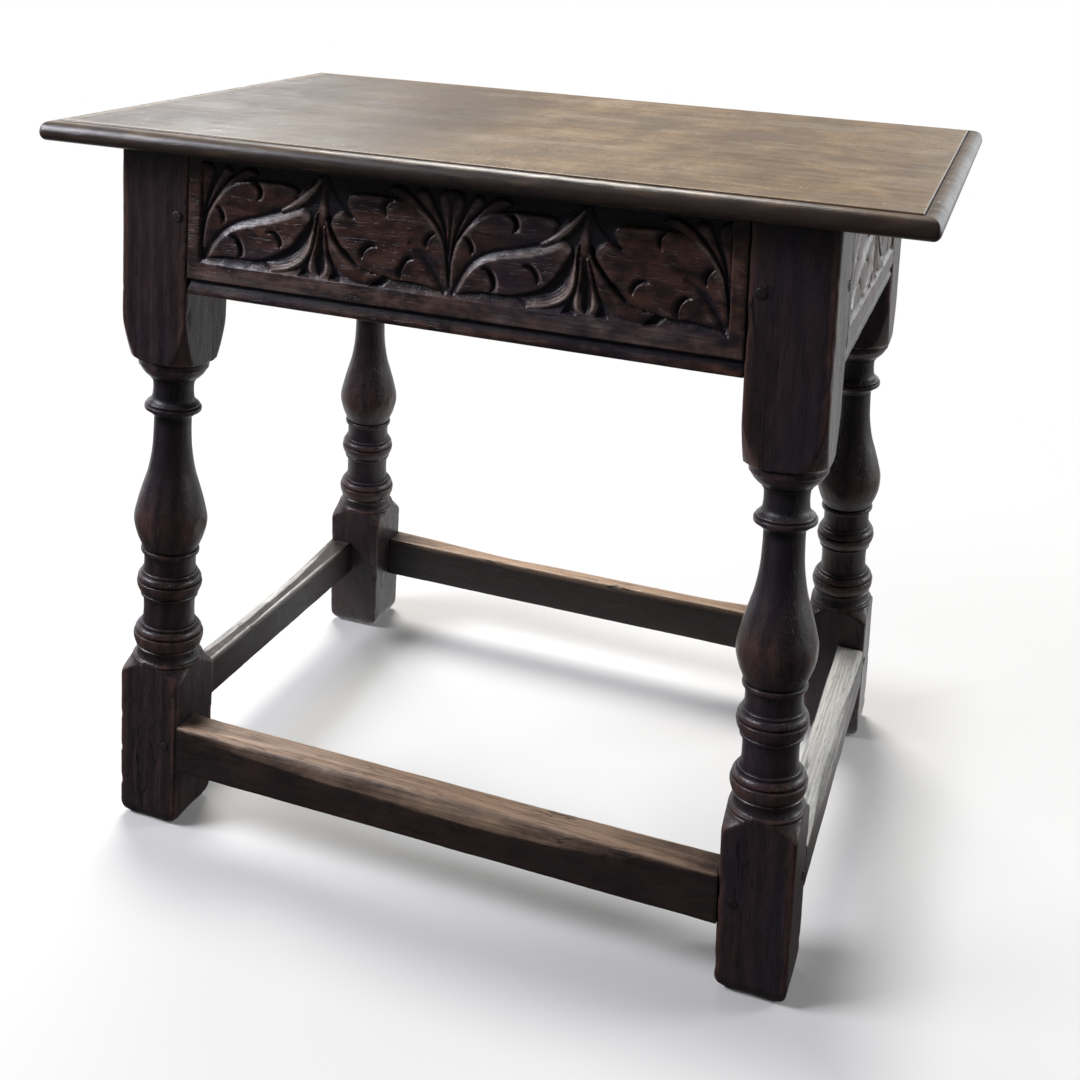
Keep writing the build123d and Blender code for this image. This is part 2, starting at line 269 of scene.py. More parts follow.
def make_piece(
    name: str, tubes: Sequence[Tube], finish: "Finish", crease: float, weld: bool = False
) -> bpy.types.Object:
    """Makes one piece of the stool from closed skins, and reports it.

    Args:
        name: the piece's name.
        tubes: its skins.
        finish: its finish.
        crease: edges sharper than this many degrees stay crisp.
        weld: joins points that coincide, within WELD_GAP.

    Returns:
        The Blender object, riding on the root body.
    """
    blocks, quads, fans, count = [], [], [], 0
    for tube in tubes:
        points, four, three = tube.parts()
        blocks.append(points)
        quads.append(four + count)
        fans.append(three + count)
        count += len(points)
    table, four, three = np.vstack(blocks), np.vstack(quads), np.vstack(fans)
    mesh = bpy.data.meshes.new(name)
    mesh.vertices.add(len(table))
    mesh.vertices.foreach_set("co", (table[:, :3] * MM).astype(np.float32).ravel())
    mesh.loops.add(four.size + three.size)
    mesh.loops.foreach_set("vertex_index", np.concatenate([four.ravel(), three.ravel()]).astype(np.int32))
    sizes = np.concatenate([np.full(len(four), 4), np.full(len(three), 3)])
    mesh.polygons.add(len(sizes))
    starts = np.concatenate([[0], np.cumsum(sizes)[:-1]]).astype(np.int32)
    mesh.polygons.foreach_set("loop_start", starts)
    mesh.update(calc_edges=True)
    # Stored per point: rubbing with painted highlights, and grime with painted shade.
    for label, column in (("rub", 3), ("grime", 4)):
        layer = mesh.attributes.new(label, "FLOAT", "POINT")
        layer.data.foreach_set("value", table[:, column].astype(np.float32))
    layer = mesh.attributes.new("timber", "FLOAT_VECTOR", "POINT")
    layer.data.foreach_set("vector", (table[:, 5:8] * MM).astype(np.float32).ravel())
    mesh.validate()
    if weld:
        work = bmesh.new()
        work.from_mesh(mesh)
        bmesh.ops.remove_doubles(work, verts=work.verts, dist=WELD_GAP)
        work.to_mesh(mesh)
        work.free()
    mesh.polygons.foreach_set("use_smooth", np.ones(len(mesh.polygons), bool))
    mesh.set_sharp_from_angle(angle=math.radians(crease))
    piece = bpy.data.objects.new(name, mesh)
    bpy.context.scene.collection.objects.link(piece)
    mesh.materials.append(finish.material())
    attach(piece, ROOT)
    log.info("%s: %d points, %d faces", name, len(mesh.vertices), len(mesh.polygons))
    return piece


# --- finishes --------------------------------------------------------------------------------
Colour = tuple[float, float, float]
Socket = bpy.types.NodeSocket
Feed = Socket | float           # what the input of an arithmetic node is given


class Graph:
    """Builds a tree of shader nodes, one short call for each."""

    def __init__(self, tree: bpy.types.NodeTree) -> None:
        """Starts with an empty tree.

        Args:
            tree: a material's or the world's tree.
        """
        self.tree = tree
        self.tree.nodes.clear()

    def feed(self, socket: Socket, value: Feed | Colour) -> None:
        """Links an output to an input, or sets the input to a number, a place or a colour."""
        if isinstance(value, Socket):
            self.tree.links.new(value, socket)
        elif isinstance(value, tuple) and len(value) == 3 and socket.type == "RGBA":
            socket.default_value = (*value, 1.0)
        else:
            socket.default_value = value

    def node(self, kind: str, inputs: dict | None = None, **settings: object) -> bpy.types.Node:
        """Adds a node.

        Args:
            kind: the node's type.
            inputs: values or output sockets for its inputs, by name or number.
            settings: its own properties.

        Returns:
            The node.
        """
        node = self.tree.nodes.new(kind)
        for key, value in settings.items():
            setattr(node, key, value)
        for key, value in (inputs or {}).items():
            self.feed(node.inputs[key], value)
        return node

    def math(self, operation: str, a: Feed, b: Feed = 0.0, clamp: bool = False) -> Socket:
        """Combines two values by an arithmetic operation."""
        return self.node("ShaderNodeMath", {0: a, 1: b}, operation=operation, use_clamp=clamp).outputs[0]

    def times(self, a: Feed, b: Feed, clamp: bool = False) -> Socket:
        """Multiplies two values."""
        return self.math("MULTIPLY", a, b, clamp)

    def add(self, *terms: Feed) -> Socket:
        """Adds values up, from the first to the last."""
        total = terms[0]
        for term in terms[1:]:
            total = self.math("ADD", total, term)
        return total

    def swing(self, value: Feed, gain: Feed) -> Socket:
        """How far a value lies from one half, times a gain."""
        return self.times(self.math("SUBTRACT", value, 0.5), gain)

    def spread(
        self, value: Feed, low: float, high: float, to_low: float = 0.0, to_high: float = 1.0
    ) -> Socket:
        """Maps a value's range smoothly onto another."""
        inputs = {"Value": value, "From Min": low, "From Max": high, "To Min": to_low, "To Max": to_high}
        return self.node("ShaderNodeMapRange", inputs, interpolation_type="SMOOTHSTEP").outputs[0]

    def mix(self, share: Feed, a: Socket | Colour, b: Socket | Colour) -> Socket:
        """Mixes two colours by a share."""
        node = self.node("ShaderNodeMix", {0: share}, data_type="RGBA")
        self.feed(node.inputs[6], a)
        self.feed(node.inputs[7], b)
        return node.outputs[2]

    def glow(self, kind: str, strength: Feed, colour: Colour = (1.0, 1.0, 1.0)) -> Socket:
        """Plain light of a kind: an emission, or a background in the world's tree."""
        return self.node(kind, {"Color": colour, "Strength": strength}).outputs[0]

    def either(self, share: Socket, a: Socket, b: Socket) -> Socket:
        """Mixes two shaders by a share."""
        return self.node("ShaderNodeMixShader", {0: share, 1: a, 2: b}).outputs[0]

    def attribute(self, name: str, output: str = "Fac") -> Socket:
        """A value stored with the mesh."""
        return self.node("ShaderNodeAttribute", attribute_name=name).outputs[output]


def new_material(name: str) -> bpy.types.Material:
    """Adds a material that has nodes."""
    material = bpy.data.materials.new(name)
    material.use_nodes = True
    return material


@dataclass(frozen=True)
class Pattern:
    """Noise in the timber: how often it changes in a metre along the grain and across it."""

    scale: Colour
    detail: float
    rough: float = 0.55
    shift: Colour = (0.0, 0.0, 0.0)
    distortion: float = 0.0

    def lay(self, g: Graph, timber: Socket) -> Socket:
        """Adds the noise, between 0 and 1, to a tree.

        Args:
            g: the tree.
            timber: place in the timber.

        Returns:
            The noise.
        """
        place = g.node("ShaderNodeMapping", {"Vector": timber, "Scale": self.scale, "Location": self.shift})
        inputs = {"Vector": place.outputs[0], "Scale": 1.0, "Detail": self.detail, "Roughness": self.rough,
                  "Distortion": self.distortion}
        return g.node("ShaderNodeTexNoise", inputs).outputs[0]


DRIFT = Pattern((2.2, 9.0, 9.0), 2.0)
FIBRE = Pattern((14.0, 700.0, 700.0), 4.0, 0.65)
STREAK = Pattern((5.0, 130.0, 130.0), 3.0, 0.6)
PORES = Pattern((70.0, 1300.0, 1300.0), 2.0, 0.5)
STAINS = Pattern((7.0, 24.0, 24.0), 4.0, 0.6, (3.1, 1.7, 0.4))
CRACKS = Pattern((9.0, 75.0, 75.0), 3.0, 0.6, (0.3, 0.9, 0.2), 0.4)
CRACKED_PLACES = Pattern((10.0, 26.0, 26.0), 1.0, shift=(7.7, 2.3, 5.1))

RING_SHARE, STREAK_SHARE, FIBRE_SHARE, DRIFT_SHARE = 0.2, 0.45, 0.35, 0.25     # in the wood's colour
RINGS_PER_METRE = 0.16          # scale of the rings' pattern where they are a metre wide
RING_BEND = (0.6, 1.0, 1.0)
PITH = (0.0, 0.013, 0.047)      # beside the piece, so that the rings run as long bands and arches
PORE_DIRT = 0.55
# share of the dark colour where dirt and painted shade are full
FULL_DIRT_AND_SHADE = 0.94
CRACK_HALF_WIDTH = 0.013
SPECK_SCALE = 40.0              # cells in a metre
SPECK_CELLS = 0.86              # share of the cells that have no speck
SPECK_COLOUR = (0.55, 0.50, 0.44)
BUMP_STRENGTH = 0.55
BUMP_HEIGHT = 0.0006            # metres


class Grain:
    """The patterns, and the wear, dirt, painted highlights and painted shade, that a finish reads."""

    def __init__(self, g: Graph, finish: "Finish") -> None:
        """Adds each to the tree.

        Args:
            g: the material's tree.
            finish: the finish that sets the rings' width and the clouds' size.
        """
        timber = g.attribute("timber", "Vector")
        self.timber = timber
        self.rub = g.attribute("rub")
        self.grime = g.attribute("grime")
        bent = g.node("ShaderNodeMapping", {"Vector": timber, "Scale": RING_BEND, "Location": PITH})
        self.rings = g.node(
            "ShaderNodeTexWave",
            {"Vector": bent.outputs[0], "Scale": RINGS_PER_METRE / finish.ring_width, "Distortion": 9.0,
             "Detail": 3.0, "Detail Scale": 0.5, "Detail Roughness": 0.65},
            wave_type="RINGS", rings_direction="X",
        ).outputs["Fac"]
        self.drift = DRIFT.lay(g, timber)
        self.fibre = FIBRE.lay(g, timber)
        self.streak = STREAK.lay(g, timber)
        self.mottle = Pattern(finish.patches, 4.0, 0.65, (1.3, 0.2, 0.6), 0.3).lay(g, timber)
        self.pore = g.spread(PORES.lay(g, timber), 0.6, 0.7)
        self.stain = g.spread(STAINS.lay(g, timber), 0.42, 0.66)
        ridge = g.math("ABSOLUTE", g.math("SUBTRACT", CRACKS.lay(g, timber), 0.5))
        place = g.spread(CRACKED_PLACES.lay(g, timber), 0.52, 0.62)
        self.crack = g.times(g.times(g.spread(ridge, CRACK_HALF_WIDTH, 0.003), place), finish.crack_share)


@dataclass(frozen=True)
class Finish:
    """Aged, waxed oak: growth rings, pores, dirt and painted shade in the hollows, and bare wood where it is
    rubbed, which also paints highlights.
    """

    name: str
    slot: str
    dark: Colour            # late wood and old polish
    light: Colour           # early wood
    rubbed: Colour          # where hands and feet have worn the polish away, and painted highlights
    dirt_and_shade: Colour            # dirt and painted shade, in hollows and corners
    blotch: Colour          # broad stains
    blotch_share: float = 0.5
    ring_width: float = 0.005
    roughness: float = 0.42
    crack_share: float = 0.5
    relief: float = 1.0     # strength of the grain's bump
    mottle: float = 0.45    # how cloudy the colour is
    streaks: float = 1.0    # how much the grain's fine lines colour it
    patches: Colour = (48.0, 130.0, 130.0)      # clouds in a metre, along the grain and across
    speck_share: float = 0.0
    ior: float = 1.4

    def material(self) -> bpy.types.Material:
        """Builds the material, or gives the one already built.

        Returns:
            The material.
        """
        known = bpy.data.materials.get(self.name)
        if known is not None:
            return known
        material = new_material(self.name)
        g = Graph(material.node_tree)
        grain = Grain(g, self)
        dirty_and_shaded = self.dirty_and_shaded(g, grain)
        colour = self.worn_wood(g, grain, self.wood(g, grain))
        colour = g.mix(g.times(grain.pore, PORE_DIRT), colour, self.dirt_and_shade)
        # Dirt and painted shade darken the colour.
        colour = g.mix(dirty_and_shaded, colour, self.dirt_and_shade)
        colour = g.mix(g.times(self.specks(g, grain), self.speck_share), colour, SPECK_COLOUR)
        shader = g.node("ShaderNodeBsdfPrincipled", {
            "Base Color": colour, "Roughness": self.gloss(g, grain, dirty_and_shaded), "Normal": self.bump(g, grain),
            "IOR": self.ior,
        })
        g.node("ShaderNodeOutputMaterial", {"Surface": shader.outputs[0]})
        return material

    def wood(self, g: Graph, grain: Grain) -> Socket:
        """The colour of the polished wood, from late wood to early wood, with broad stains."""
        tone = g.add(
            g.times(grain.rings, RING_SHARE * self.streaks),
            g.times(grain.streak, STREAK_SHARE * self.streaks),
            g.times(grain.fibre, FIBRE_SHARE * self.streaks),
            g.times(grain.mottle, self.mottle),
            g.times(grain.drift, DRIFT_SHARE),
        )
        middle = 0.5 * (self.streaks + self.mottle + DRIFT_SHARE)
        colour = g.mix(g.spread(tone, middle - 0.24, middle + 0.26), self.dark, self.light)
        return g.mix(g.times(grain.stain, self.blotch_share), colour, self.blotch)

    def worn_wood(self, g: Graph, grain: Grain, colour: Socket) -> Socket:
        """Shows the bare wood in rubbed places and painted highlights, broken up by the grain."""
        patchy = g.add(grain.rub, g.swing(grain.streak, 0.9 * self.streaks),
                       g.swing(grain.fibre, 0.5 * self.streaks), g.swing(grain.mottle, 0.6))
        half_worn = g.mix(0.5, self.rubbed, self.light)
        bare = g.mix(g.spread(grain.fibre, 0.3, 0.75), half_worn, self.rubbed)
        return g.mix(g.spread(patchy, 0.18, 0.95), colour, bare)

    def dirty_and_shaded(self, g: Graph, grain: Grain) -> Socket:
        """How much dirt and painted shade a place has: its stored share, broken up by the clouds, and the
        cracks.
        """
        soiled_and_shaded = g.add(grain.grime, g.swing(grain.mottle, g.times(grain.grime, 0.9)))
        return g.math("ADD", g.spread(soiled_and_shaded, 0.05, 0.95, 0.0, FULL_DIRT_AND_SHADE), grain.crack, clamp=True)

    def specks(self, g: Graph, grain: Grain) -> Socket:
        """A few pale specks, one in the middle of each chosen cell."""
        cells = g.node("ShaderNodeTexVoronoi", {"Vector": grain.timber, "Scale": SPECK_SCALE}, feature="F1",
                       voronoi_dimensions="2D").outputs
        lot = g.node("ShaderNodeSeparateColor", {0: cells["Color"]}).outputs[0]
        return g.times(g.spread(cells["Distance"], 0.04, 0.02), g.math("GREATER_THAN", lot, SPECK_CELLS))

    def gloss(self, g: Graph, grain: Grain, dirty_and_shaded: Socket) -> Socket:
        """The roughness: uneven with the grain and the clouds, and duller where dirt and painted shade lie.
        """
        even = self.roughness - 0.16 - 0.08 * self.streaks
        uneven = g.add(g.times(grain.streak, 0.16 * self.streaks), g.times(grain.fibre, 0.08),
                       g.times(grain.mottle, 0.24), even)
        return g.math("ADD", uneven, g.times(dirty_and_shaded, 0.12), clamp=True)

    def bump(self, g: Graph, grain: Grain) -> Socket:
        """The fine relief of fibres, pores, streaks, clouds and cracks."""
        height = g.add(g.times(grain.fibre, 0.5), g.times(grain.pore, -0.6), g.times(grain.streak, 0.6),
                       g.times(grain.mottle, 1.2), g.times(grain.crack, -0.5))
        inputs = {"Height": height, "Strength": BUMP_STRENGTH * self.relief, "Distance": BUMP_HEIGHT}
        return g.node("ShaderNodeBump", inputs).outputs[0]


DARK_OAK = Finish(
    "waxed_dark_oak", "dark_oak",
    dark=(0.019, 0.0120, 0.0135), light=(0.044, 0.0265, 0.0260), rubbed=(0.100, 0.046, 0.034),
    dirt_and_shade=(0.0050, 0.0042, 0.0062), blotch=(0.024, 0.0190, 0.0280), blotch_share=0.6,
    roughness=0.31, crack_share=0.9,
)
# The carving's pale rubbed colour also paints its highlights, and its purple dirt colour also paints its
# shade.
CARVED_OAK = Finish(
    "waxed_carved_oak", "dark_oak",
    dark=(0.014, 0.0085, 0.0100), light=(0.082, 0.0350, 0.0235), rubbed=(0.230, 0.180, 0.160),
    dirt_and_shade=(0.0100, 0.0080, 0.0125), blotch=(0.026, 0.0190, 0.0270), blotch_share=0.85,
    roughness=0.33, crack_share=0.3, relief=0.8, mottle=1.1, streaks=0.4, patches=(60.0, 100.0, 100.0),
)
WORN_OAK = Finish(
    "waxed_worn_oak", "worn_oak",
    dark=(0.017, 0.0105, 0.0100), light=(0.046, 0.0250, 0.0185), rubbed=(0.470, 0.315, 0.205),
    dirt_and_shade=(0.0080, 0.0050, 0.0047), blotch=(0.021, 0.0155, 0.0180),
    roughness=0.36, crack_share=0.8, mottle=1.0, streaks=0.35, patches=(34.0, 60.0, 60.0),
)
# The side stretchers' rubbed colour is nearly white: on the right one's top it paints a sheen over the wear.
SHEENED_BARE_OAK = Finish(
    "bare_worn_oak_painted_sheen", "worn_oak",
    dark=(0.017, 0.0110, 0.0110), light=(0.046, 0.0260, 0.0215), rubbed=(0.800, 0.780, 0.720),
    dirt_and_shade=(0.0080, 0.0050, 0.0047), blotch=(0.023, 0.0180, 0.0215),
    roughness=0.40, crack_share=0.8, mottle=0.9, streaks=0.3, patches=(40.0, 60.0, 60.0),
)
TOP_OAK = Finish(
    "waxed_top_oak", "top_oak",
    dark=(0.155, 0.0920, 0.0440), light=(0.320, 0.2120, 0.1120), rubbed=(0.460, 0.360, 0.250),
    dirt_and_shade=(0.0210, 0.0130, 0.0120), blotch=(0.175, 0.1220, 0.0740), blotch_share=0.7, ring_width=0.006,
    roughness=0.26, crack_share=0.25, relief=0.4, mottle=0.9, streaks=0.34, patches=(24.0, 17.0, 17.0),
    speck_share=0.8, ior=1.42,
)
PEG_OAK = Finish(
    "waxed_peg_oak", "peg_oak",
    dark=(0.012, 0.0090, 0.0090), light=(0.026, 0.0170, 0.0150), rubbed=(0.050, 0.030, 0.021),
    dirt_and_shade=(0.0040, 0.0034, 0.0040), blotch=(0.016, 0.0130, 0.0150), roughness=0.45, crack_share=0.2,
)


# --- the frame's geometry --------------------------------------------------------------------
@dataclass(frozen=True)
class Framing:
    """Sizes that the legs, rails and stretchers share."""

    height: float = 530.0
    top_thickness: float = 12.5
    foot_length: float = 537.0      # over the outer faces of the legs, at the floor
    head_length: float = 458.0      # the same, under the top board
    foot_width: float = 396.0
    head_width: float = 330.0
    leg_square: float = 50.5
    rail_height: float = 90.0
    rail_thickness: float = 24.0
    stretcher_thickness: float = 22.5

    @property
    def top(self) -> float:
        """Height of the frame's upper end."""
        return self.height - self.top_thickness

    @property
    def rail_foot(self) -> float:
        """Height of the rails' lower edge."""
        return self.top - self.rail_height

    @property
    def length_cant(self) -> float:
        """How far a side frame leans in, per unit of height."""
        return (self.foot_length - self.head_length) / 2 / self.top

    @property
    def width_cant(self) -> float:
        """How far the front and rear frames lean in, per unit of height."""
        return (self.foot_width - self.head_width) / 2 / self.top

    def half_length(self, z: np.ndarray) -> np.ndarray:
        """Distance of the side frames' outer faces from the middle at a height."""
        return self.foot_length / 2 - self.length_cant * z

    def half_width(self, z: np.ndarray) -> np.ndarray:
        """Distance of the front and rear frames' outer faces from the middle at a height."""
        return self.foot_width / 2 - self.width_cant * z


FRAMING = Framing()


class Facing(Enum):
    """A side of the frame, by its quarter turns about Z from the front."""

    FRONT = 0
    RIGHT = 1
    REAR = 2
    LEFT = 3

    @property
    def long(self) -> bool:
        """Whether the side is one of the two long ones."""
        return self in (Facing.FRONT, Facing.REAR)

    @property
    def label(self) -> str:
        """The side's name in the names of its pieces."""
        return self.name.lower()

    @property
    def half_run(self) -> Callable[[np.ndarray], np.ndarray]:
        """Half the side's length at a height."""
        return FRAMING.half_length if self.long else FRAMING.half_width

    @property
    def set_out(self) -> Callable[[np.ndarray], np.ndarray]:
        """Its outer face's distance from the middle at a height."""
        return FRAMING.half_width if self.long else FRAMING.half_length

    @property
    def cant(self) -> float:
        """How far its outer face leans in, per unit of height."""
        return FRAMING.width_cant if self.long else FRAMING.length_cant

    def place(self, points: np.ndarray) -> np.ndarray:
        """Turns points, drawn with the side facing -Y, about Z into the side's place.

        Args:
            points: places, with the last axis x, y, z.

        Returns:
            The turned points.
        """
        cosine, sine = ((1, 0), (0, 1), (-1, 0), (0, -1))[self.value]
        x, y, z = points[..., 0], points[..., 1], points[..., 2]
        return np.stack([cosine * x - sine * y, sine * x + cosine * y, z], -1)


# --- carving ---------------------------------------------------------------------------------
Line = Sequence[tuple[float, float]]
Form = Callable[[np.ndarray, np.ndarray], np.ndarray]      # of places and depths inside an outline


@dataclass(frozen=True)
class Crescent:
    """A gouge cut: a curved stop cut with a slope that runs out on its left side."""

    stations: Line
    depth: float
    reach: float


@dataclass(frozen=True)
class Cushion:
    """A form that rises smoothly from a low level at its outline by a rise within a reach."""

    low: float
    rise: float
    reach: float

    def __call__(self, place: np.ndarray, depth: np.ndarray) -> np.ndarray:
        """The form's levels at depths inside its outline."""
        return self.low + self.rise * ease(depth / self.reach)


@dataclass
class Ground:
    """The surface of a panel while forms are laid over it and cuts are made in it, with painted highlights,
    partly wear.
    """

    points: np.ndarray
    level: np.ndarray
    wear_and_highlight: np.ndarray

    def lay(self, loop: np.ndarray, form: Form, wall: float, shine: Form | None = None) -> None:
        """Lays a form over what is there, passing to it smoothly within a wall's width.

        Args:
            loop: the form's outline.
            form: its level at a place and a depth inside the outline.
            wall: width of the wall round it.
            shine: its painted highlight, partly wear, in the same way, or none.
        """
        margin = 1.5
        low, high = loop.min(0) - margin, loop.max(0) + margin
        near = np.all((self.points >= low) & (self.points <= high), axis=1)
        place = self.points[near]
        depth = depth_inside(place, loop)
        share = ease(depth / wall + 0.5)
        self.level[near] += (form(place, depth) - self.level[near]) * share
        self.wear_and_highlight[near] += ((shine(place, depth) if shine else 0.0) - self.wear_and_highlight[near]) * share

    def cut(self, crescent: Crescent, broad: bool) -> None:
        """Makes a gouge cut: it falls steeply from the stop cut and runs out over its reach.

        Args:
            crescent: the cut.
            broad: whether the light lies on the stop cut's own edge, not on the slope's far one.
        """
        gap, side, along = nearest(self.points, through(crescent.stations))
        out = gap * side
        taper = np.sin(np.pi * along) ** 0.6
        reach = crescent.reach * (0.35 + 0.65 * taper)
        slope = np.where(out > 0, np.clip(1 - out / reach, 0, 1) ** 1.5, np.clip(1 + out / 0.35, 0, 1))
        self.level -= crescent.depth * slope * taper * ((along > 0) & (along < 1))
        # A painted highlight runs along the stop cut's own edge when broad, else along the slope's far edge.
        highlight_lip = (out + 0.3) / 0.5 if broad else (out - 3.1) / 0.9
        self.wear_and_highlight += 0.9 * np.exp(-(highlight_lip**2)) * taper * ease((along - 0.15) / 0.3)


@dataclass(frozen=True)
class LeafCarving:
    """Half of a repeat of the carved band: from the middle of a fan to the middle of a fleur.

    Outlines are in millimetres: along the rail from the fan's middle, and up from the panel's
    foot. The fleur's are measured back from its own middle. Levels are below the rail's face.
    """

    unit: float = 86.2
    head: float = 64.5
    step: float = 0.25
    ground: float = 3.0
    wall: float = 0.45
    low_wall: float = 0.4           # round what is sunk into the ground
    midrib: Line = (
        (2.5, 2.2), (4, 6), (7, 11.5), (11, 17), (16, 22.5), (21, 26.5), (26.5, 29.5), (32, 31.7), (42, 34.5),
        (52, 37), (59, 39), (64, 40.8), (69, 43), (74, 43.6), (77.6, 41.2),
    )
    midrib_fork: int = 12           # stations up to where the two halves of the leaf part
    leaf_foot: Line = (
        (2.5, 2.2), (7, 4.2), (13, 5.6), (22, 6.6), (32, 6.4), (42, 7), (53, 11), (63.5, 17), (70, 24.5),
        (76, 32), (78.4, 37.5), (77.6, 41.2),
    )
    leaf_head: Line = (
        (2.5, 2.2), (1.3, 8), (1.4, 15), (2.6, 24), (5.2, 32), (9.5, 39.5), (15, 46), (21, 51), (28, 53.8),
        (36, 54.8), (46, 55.2), (60, 55), (67, 54), (69.3, 50), (67.5, 45.5), (64, 40.8),
    )
    crescents: tuple[Crescent, ...] = (
        Crescent(((22.5, 20), (26.8, 18.6), (29.6, 14.4), (30.4, 10), (29.4, 6.5)), 3.6, 4.6),
        Crescent(((47.0, 25), (52, 24.5), (55.8, 21.3), (57.2, 16.5)), 3.4, 4.6),
        Crescent(((9.8, 37.4), (13.0, 34.8), (15.2, 31), (15.2, 27.0)), 3.2, 4.2),
        Crescent(((36.0, 54), (39.8, 52), (41.8, 48.4), (40.2, 43.6)), 3.5, 4.6),
    )
    stalk: Line = ((58, 38.6), (65, 41.8), (71, 46), (76, 50.6), (80.5, 56), (84.6, 62))
    stalk_widths: tuple[float, ...] = (1.0, 2.4, 1.3)
    tendril: Line = ((67.8, 47.0), (71, 50.2), (75, 54.5), (78.5, 59.5))
    tendril_widths: tuple[float, ...] = (0.5, 1.2, 0.6)
    fan_middle: Line = (
        (0, 15), (1.3, 26), (2.7, 36), (5, 46), (7.8, 54), (7.8, 59.5), (4.8, 62.8), (0, 63.8),
    )
    fan_inner: tuple[Line, Line] = (
        ((1.2, 22), (3, 31), (5.6, 37), (9, 42.5), (13, 48), (18, 53.5), (22, 58.5), (19, 62.3)),
        ((1.2, 22), (2.9, 32), (5.2, 40.5), (8.3, 48), (11.3, 54.2), (13, 58), (15, 61.5), (19, 62.3)),
    )
    fan_outer: tuple[Line, Line] = (
        ((1.5, 12), (3.2, 21.5), (6.2, 30.6), (10.2, 38.3), (15.7, 44.7), (21.3, 49.3), (27.4, 53.4),
         (35.6, 56.6), (41, 58.6)),
        ((1.5, 12), (3.6, 30.3), (6.3, 36.2), (9.8, 41.6), (13.8, 47.1), (18.8, 52.6), (24, 58), (30, 61.8),
         (37, 62), (41, 58.6)),
    )
    stem: Line = ((0, 64), (1.3, 63), (1.5, 56), (2.0, 50), (2.9, 44), (2.6, 38), (1.8, 34), (0, 34))
    inner_petal: tuple[Line, Line] = (
        ((0.9, 44), (0.6, 38), (0.9, 30), (1.9, 22), (3.0, 14), (3.1, 7), (1.6, 1.5)),
        ((2.6, 43), (3.2, 33), (4.2, 25), (6, 17), (8.0, 9.5), (6.8, 4), (1.6, 1.5)),
    )
    gouged_petal: tuple[Line, Line] = (
        ((2.4, 44), (4.0, 38), (4.7, 32), (5.4, 26), (7.4, 16.5), (12.2, 9.4), (20.2, 4.2), (28.2, 1.8),
         (35.5, 1.4)),
        ((2.4, 44), (5.6, 38), (7.4, 31), (11.4, 21), (18.8, 13.6), (27.8, 9.2), (36, 7.9), (41.5, 7.2),
         (40, 4.4), (35.5, 1.4)),
    )
    broad_petal: tuple[Line, Line] = (
        ((2.4, 43), (3.4, 33), (4.8, 25), (6.6, 18), (9.4, 12), (14.2, 7.4), (21, 3.2), (28, 1.0),
         (34.5, 0.5)),
        ((2.4, 43), (4.6, 37), (8.0, 31), (13.0, 24.2), (20, 17), (28, 10.8), (36, 8.8), (43.6, 8.0),
         (39.5, 4.2), (34.5, 0.5)),
    )
    broad_end: Line = (
        (19, 21), (27.5, 11.4), (35, 9), (45, 10), (51, 22), (58, 27), (60.5, 32), (45, 38.5), (31, 43),
        (22.5, 42), (19.5, 40.5), (8.2, 41.2), (5.8, 36), (9.5, 29.5), (13.5, 24),
    )
    broad_line: Line = ((3.4, 40.5), (6.2, 33.8), (12.6, 24.6), (19.8, 17.0), (27.8, 10.9))
    broad_wedge: Line = ((35.6, 0.6), (40, 3.8), (44, 8), (49.5, 6.6), (43.5, 1.6))
    hollow: Line = ((0, 37), (0.5, 33), (1.0, 26), (2.0, 19), (2.8, 12), (2.5, 6), (0, 2.0))
    sinking: Line = ((6.6, 1.2), (14.4, 1.2), (10.6, 8.0))
    past_middle: float = 9.0        # how far forms that cross a repeat's middle are drawn past it

    def from_fleur(self, line: Line) -> Line:
        """Measures a line of the fleur from the fan's middle instead."""
        return [(self.unit - x, h) for x, h in line]

    @staticmethod
    def between(edges: tuple[Line, Line]) -> np.ndarray:
        """The closed outline of a petal between two edges with common ends."""
        one, two = (through(edge) for edge in edges)
        return np.vstack([one, two[::-1][1:-1]])

    def fleur_petal(self, edges: tuple[Line, Line]) -> np.ndarray:
        """The closed outline of a petal of the fleur."""
        return self.between(tuple(self.from_fleur(edge) for edge in edges))

    @staticmethod
    def ribbon(stations: Line, widths: Sequence[float]) -> np.ndarray:
        """The closed outline of a stem: a line pushed out square to itself by half its width.

        Args:
            stations: the stem's middle line.
            widths: its half widths, evenly spaced along it.

        Returns:
            The outline's points.
        """
        line = through(stations)
        half = np.interp(np.linspace(0, 1, len(line)), np.linspace(0, 1, len(widths)), widths)[:, None]
        run = np.gradient(line, axis=0)
        square = np.stack([-run[:, 1], run[:, 0]], 1) / np.hypot(run[:, 0], run[:, 1])[:, None]
        return np.vstack([line + square * half, (line - square * half)[::-1]])

